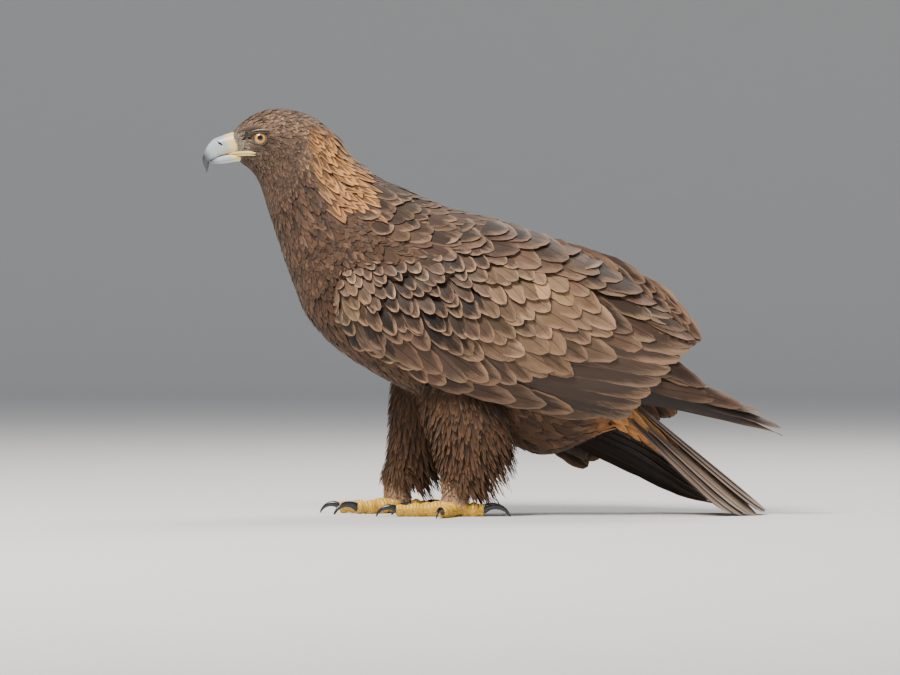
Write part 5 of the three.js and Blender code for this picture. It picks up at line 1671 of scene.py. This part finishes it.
class EAGLE_OT_studio(bpy.types.Operator):
    """Set the pale floor, the soft light and the camera"""

    bl_idname = "eagle.studio"
    bl_label = "Studio"

    def execute(self, context):
        scene = context.scene
        floor = bpy.data.objects.new("studio_floor", self.bowl())
        floor.data.materials.append(floor_material("studio_floor"))
        scene.collection.objects.link(floor)
        scene.world = bpy.data.worlds.new("studio_light")
        scene.world.use_nodes = True
        background = scene.world.node_tree.nodes["Background"]
        background.inputs["Color"].default_value = SKY
        background.inputs["Strength"].default_value = SKY_STRENGTH
        for name, setting in LIGHTS.items():
            self.light(name, **setting)
        self.camera(scene)
        return {"FINISHED"}

    def bowl(self):
        """A round floor that bends up to a backdrop on every side."""
        bm = bmesh.new()
        turn = np.linspace(0, FLOOR_TURN, 15)[1:] * DEG
        profile = [(0.02, 0.0), (FLOOR_REACH, 0.0)]
        profile += [(FLOOR_REACH + FLOOR_BEND * math.sin(a), FLOOR_BEND * (1 - math.cos(a))) for a in turn]
        verts = [bm.verts.new((r, 0, z)) for r, z in profile]
        edges = [bm.edges.new(pair) for pair in zip(verts, verts[1:])]
        bmesh.ops.spin(bm, geom=verts + edges, axis=(0, 0, 1), cent=(0, 0, 0), steps=96, angle=2 * math.pi,
                       use_merge=True)
        bmesh.ops.holes_fill(bm, edges=[e for e in bm.edges if e.is_boundary and e.verts[0].co.length < 1])
        bmesh.ops.recalc_face_normals(bm, faces=bm.faces)
        return mesh_of(bm)

    def light(self, name, place, size, power, colour):
        """A square soft lamp turned towards the bird."""
        lamp = bpy.data.lights.new(name, "AREA")
        lamp.size = size
        lamp.energy = power
        lamp.color = colour
        piece = bpy.data.objects.new(name, lamp)
        bpy.context.scene.collection.objects.link(piece)
        piece.location = place
        piece.rotation_euler = (Vector(LIGHT_AIM) - Vector(place)).to_track_quat("-Z", "Y").to_euler()

    def camera(self, scene):
        """A long lens, level with the bird."""
        distance = sizes().camera_distance
        aim = Vector(metres(CAMERA_AIM))
        lens = bpy.data.cameras.new("camera")
        lens.sensor_width = SENSOR_WIDTH
        lens.lens = SENSOR_WIDTH * distance / FRAME_WIDTH
        camera = bpy.data.objects.new("camera", lens)
        scene.collection.objects.link(camera)
        camera.location = aim + Vector((0, -distance, CAMERA_RISE))
        camera.rotation_euler = (aim - camera.location).to_track_quat("-Z", "Y").to_euler()
        scene.camera = camera


STEPS = (EAGLE_OT_studio, EAGLE_OT_skin, EAGLE_OT_head_feathers, EAGLE_OT_hackles, EAGLE_OT_body_feathers,
         EAGLE_OT_wings, EAGLE_OT_tail, EAGLE_OT_legs, EAGLE_OT_feet, EAGLE_OT_bill, EAGLE_OT_eyes)


class EAGLE_PT_panel(bpy.types.Panel):
    """Lists the eagle's steps and settings"""

    bl_idname = "EAGLE_PT_panel"
    bl_label = "Golden Eagle"
    bl_space_type = "VIEW_3D"
    bl_region_type = "UI"
    bl_category = "Eagle"

    def draw(self, context):
        for step in STEPS:
            self.layout.operator(step.bl_idname)
        for group in (context.scene.eagle_sizes, context.scene.eagle_colours):
            box = self.layout.box()
            for key in group.__annotations__:
                box.prop(group, key)


CLASSES = (EAGLE_PG_sizes, EAGLE_PG_colours, *STEPS, EAGLE_PT_panel)


def register():
    """Adds the settings, the steps and the panel."""
    for item in CLASSES:
        bpy.utils.register_class(item)
    bpy.types.Scene.eagle_sizes = bpy.props.PointerProperty(type=EAGLE_PG_sizes)
    bpy.types.Scene.eagle_colours = bpy.props.PointerProperty(type=EAGLE_PG_colours)


def unregister():
    """Takes them away again."""
    del bpy.types.Scene.eagle_colours
    del bpy.types.Scene.eagle_sizes
    for item in reversed(CLASSES):
        bpy.utils.unregister_class(item)


def main():
    """Adds the settings, the steps and the panel, then builds the bird in order."""
    register()
    for step in STEPS:
        group, operator = step.bl_idname.split(".")
        getattr(getattr(bpy.ops, group), operator)()


if __name__ == "__main__":
    main()
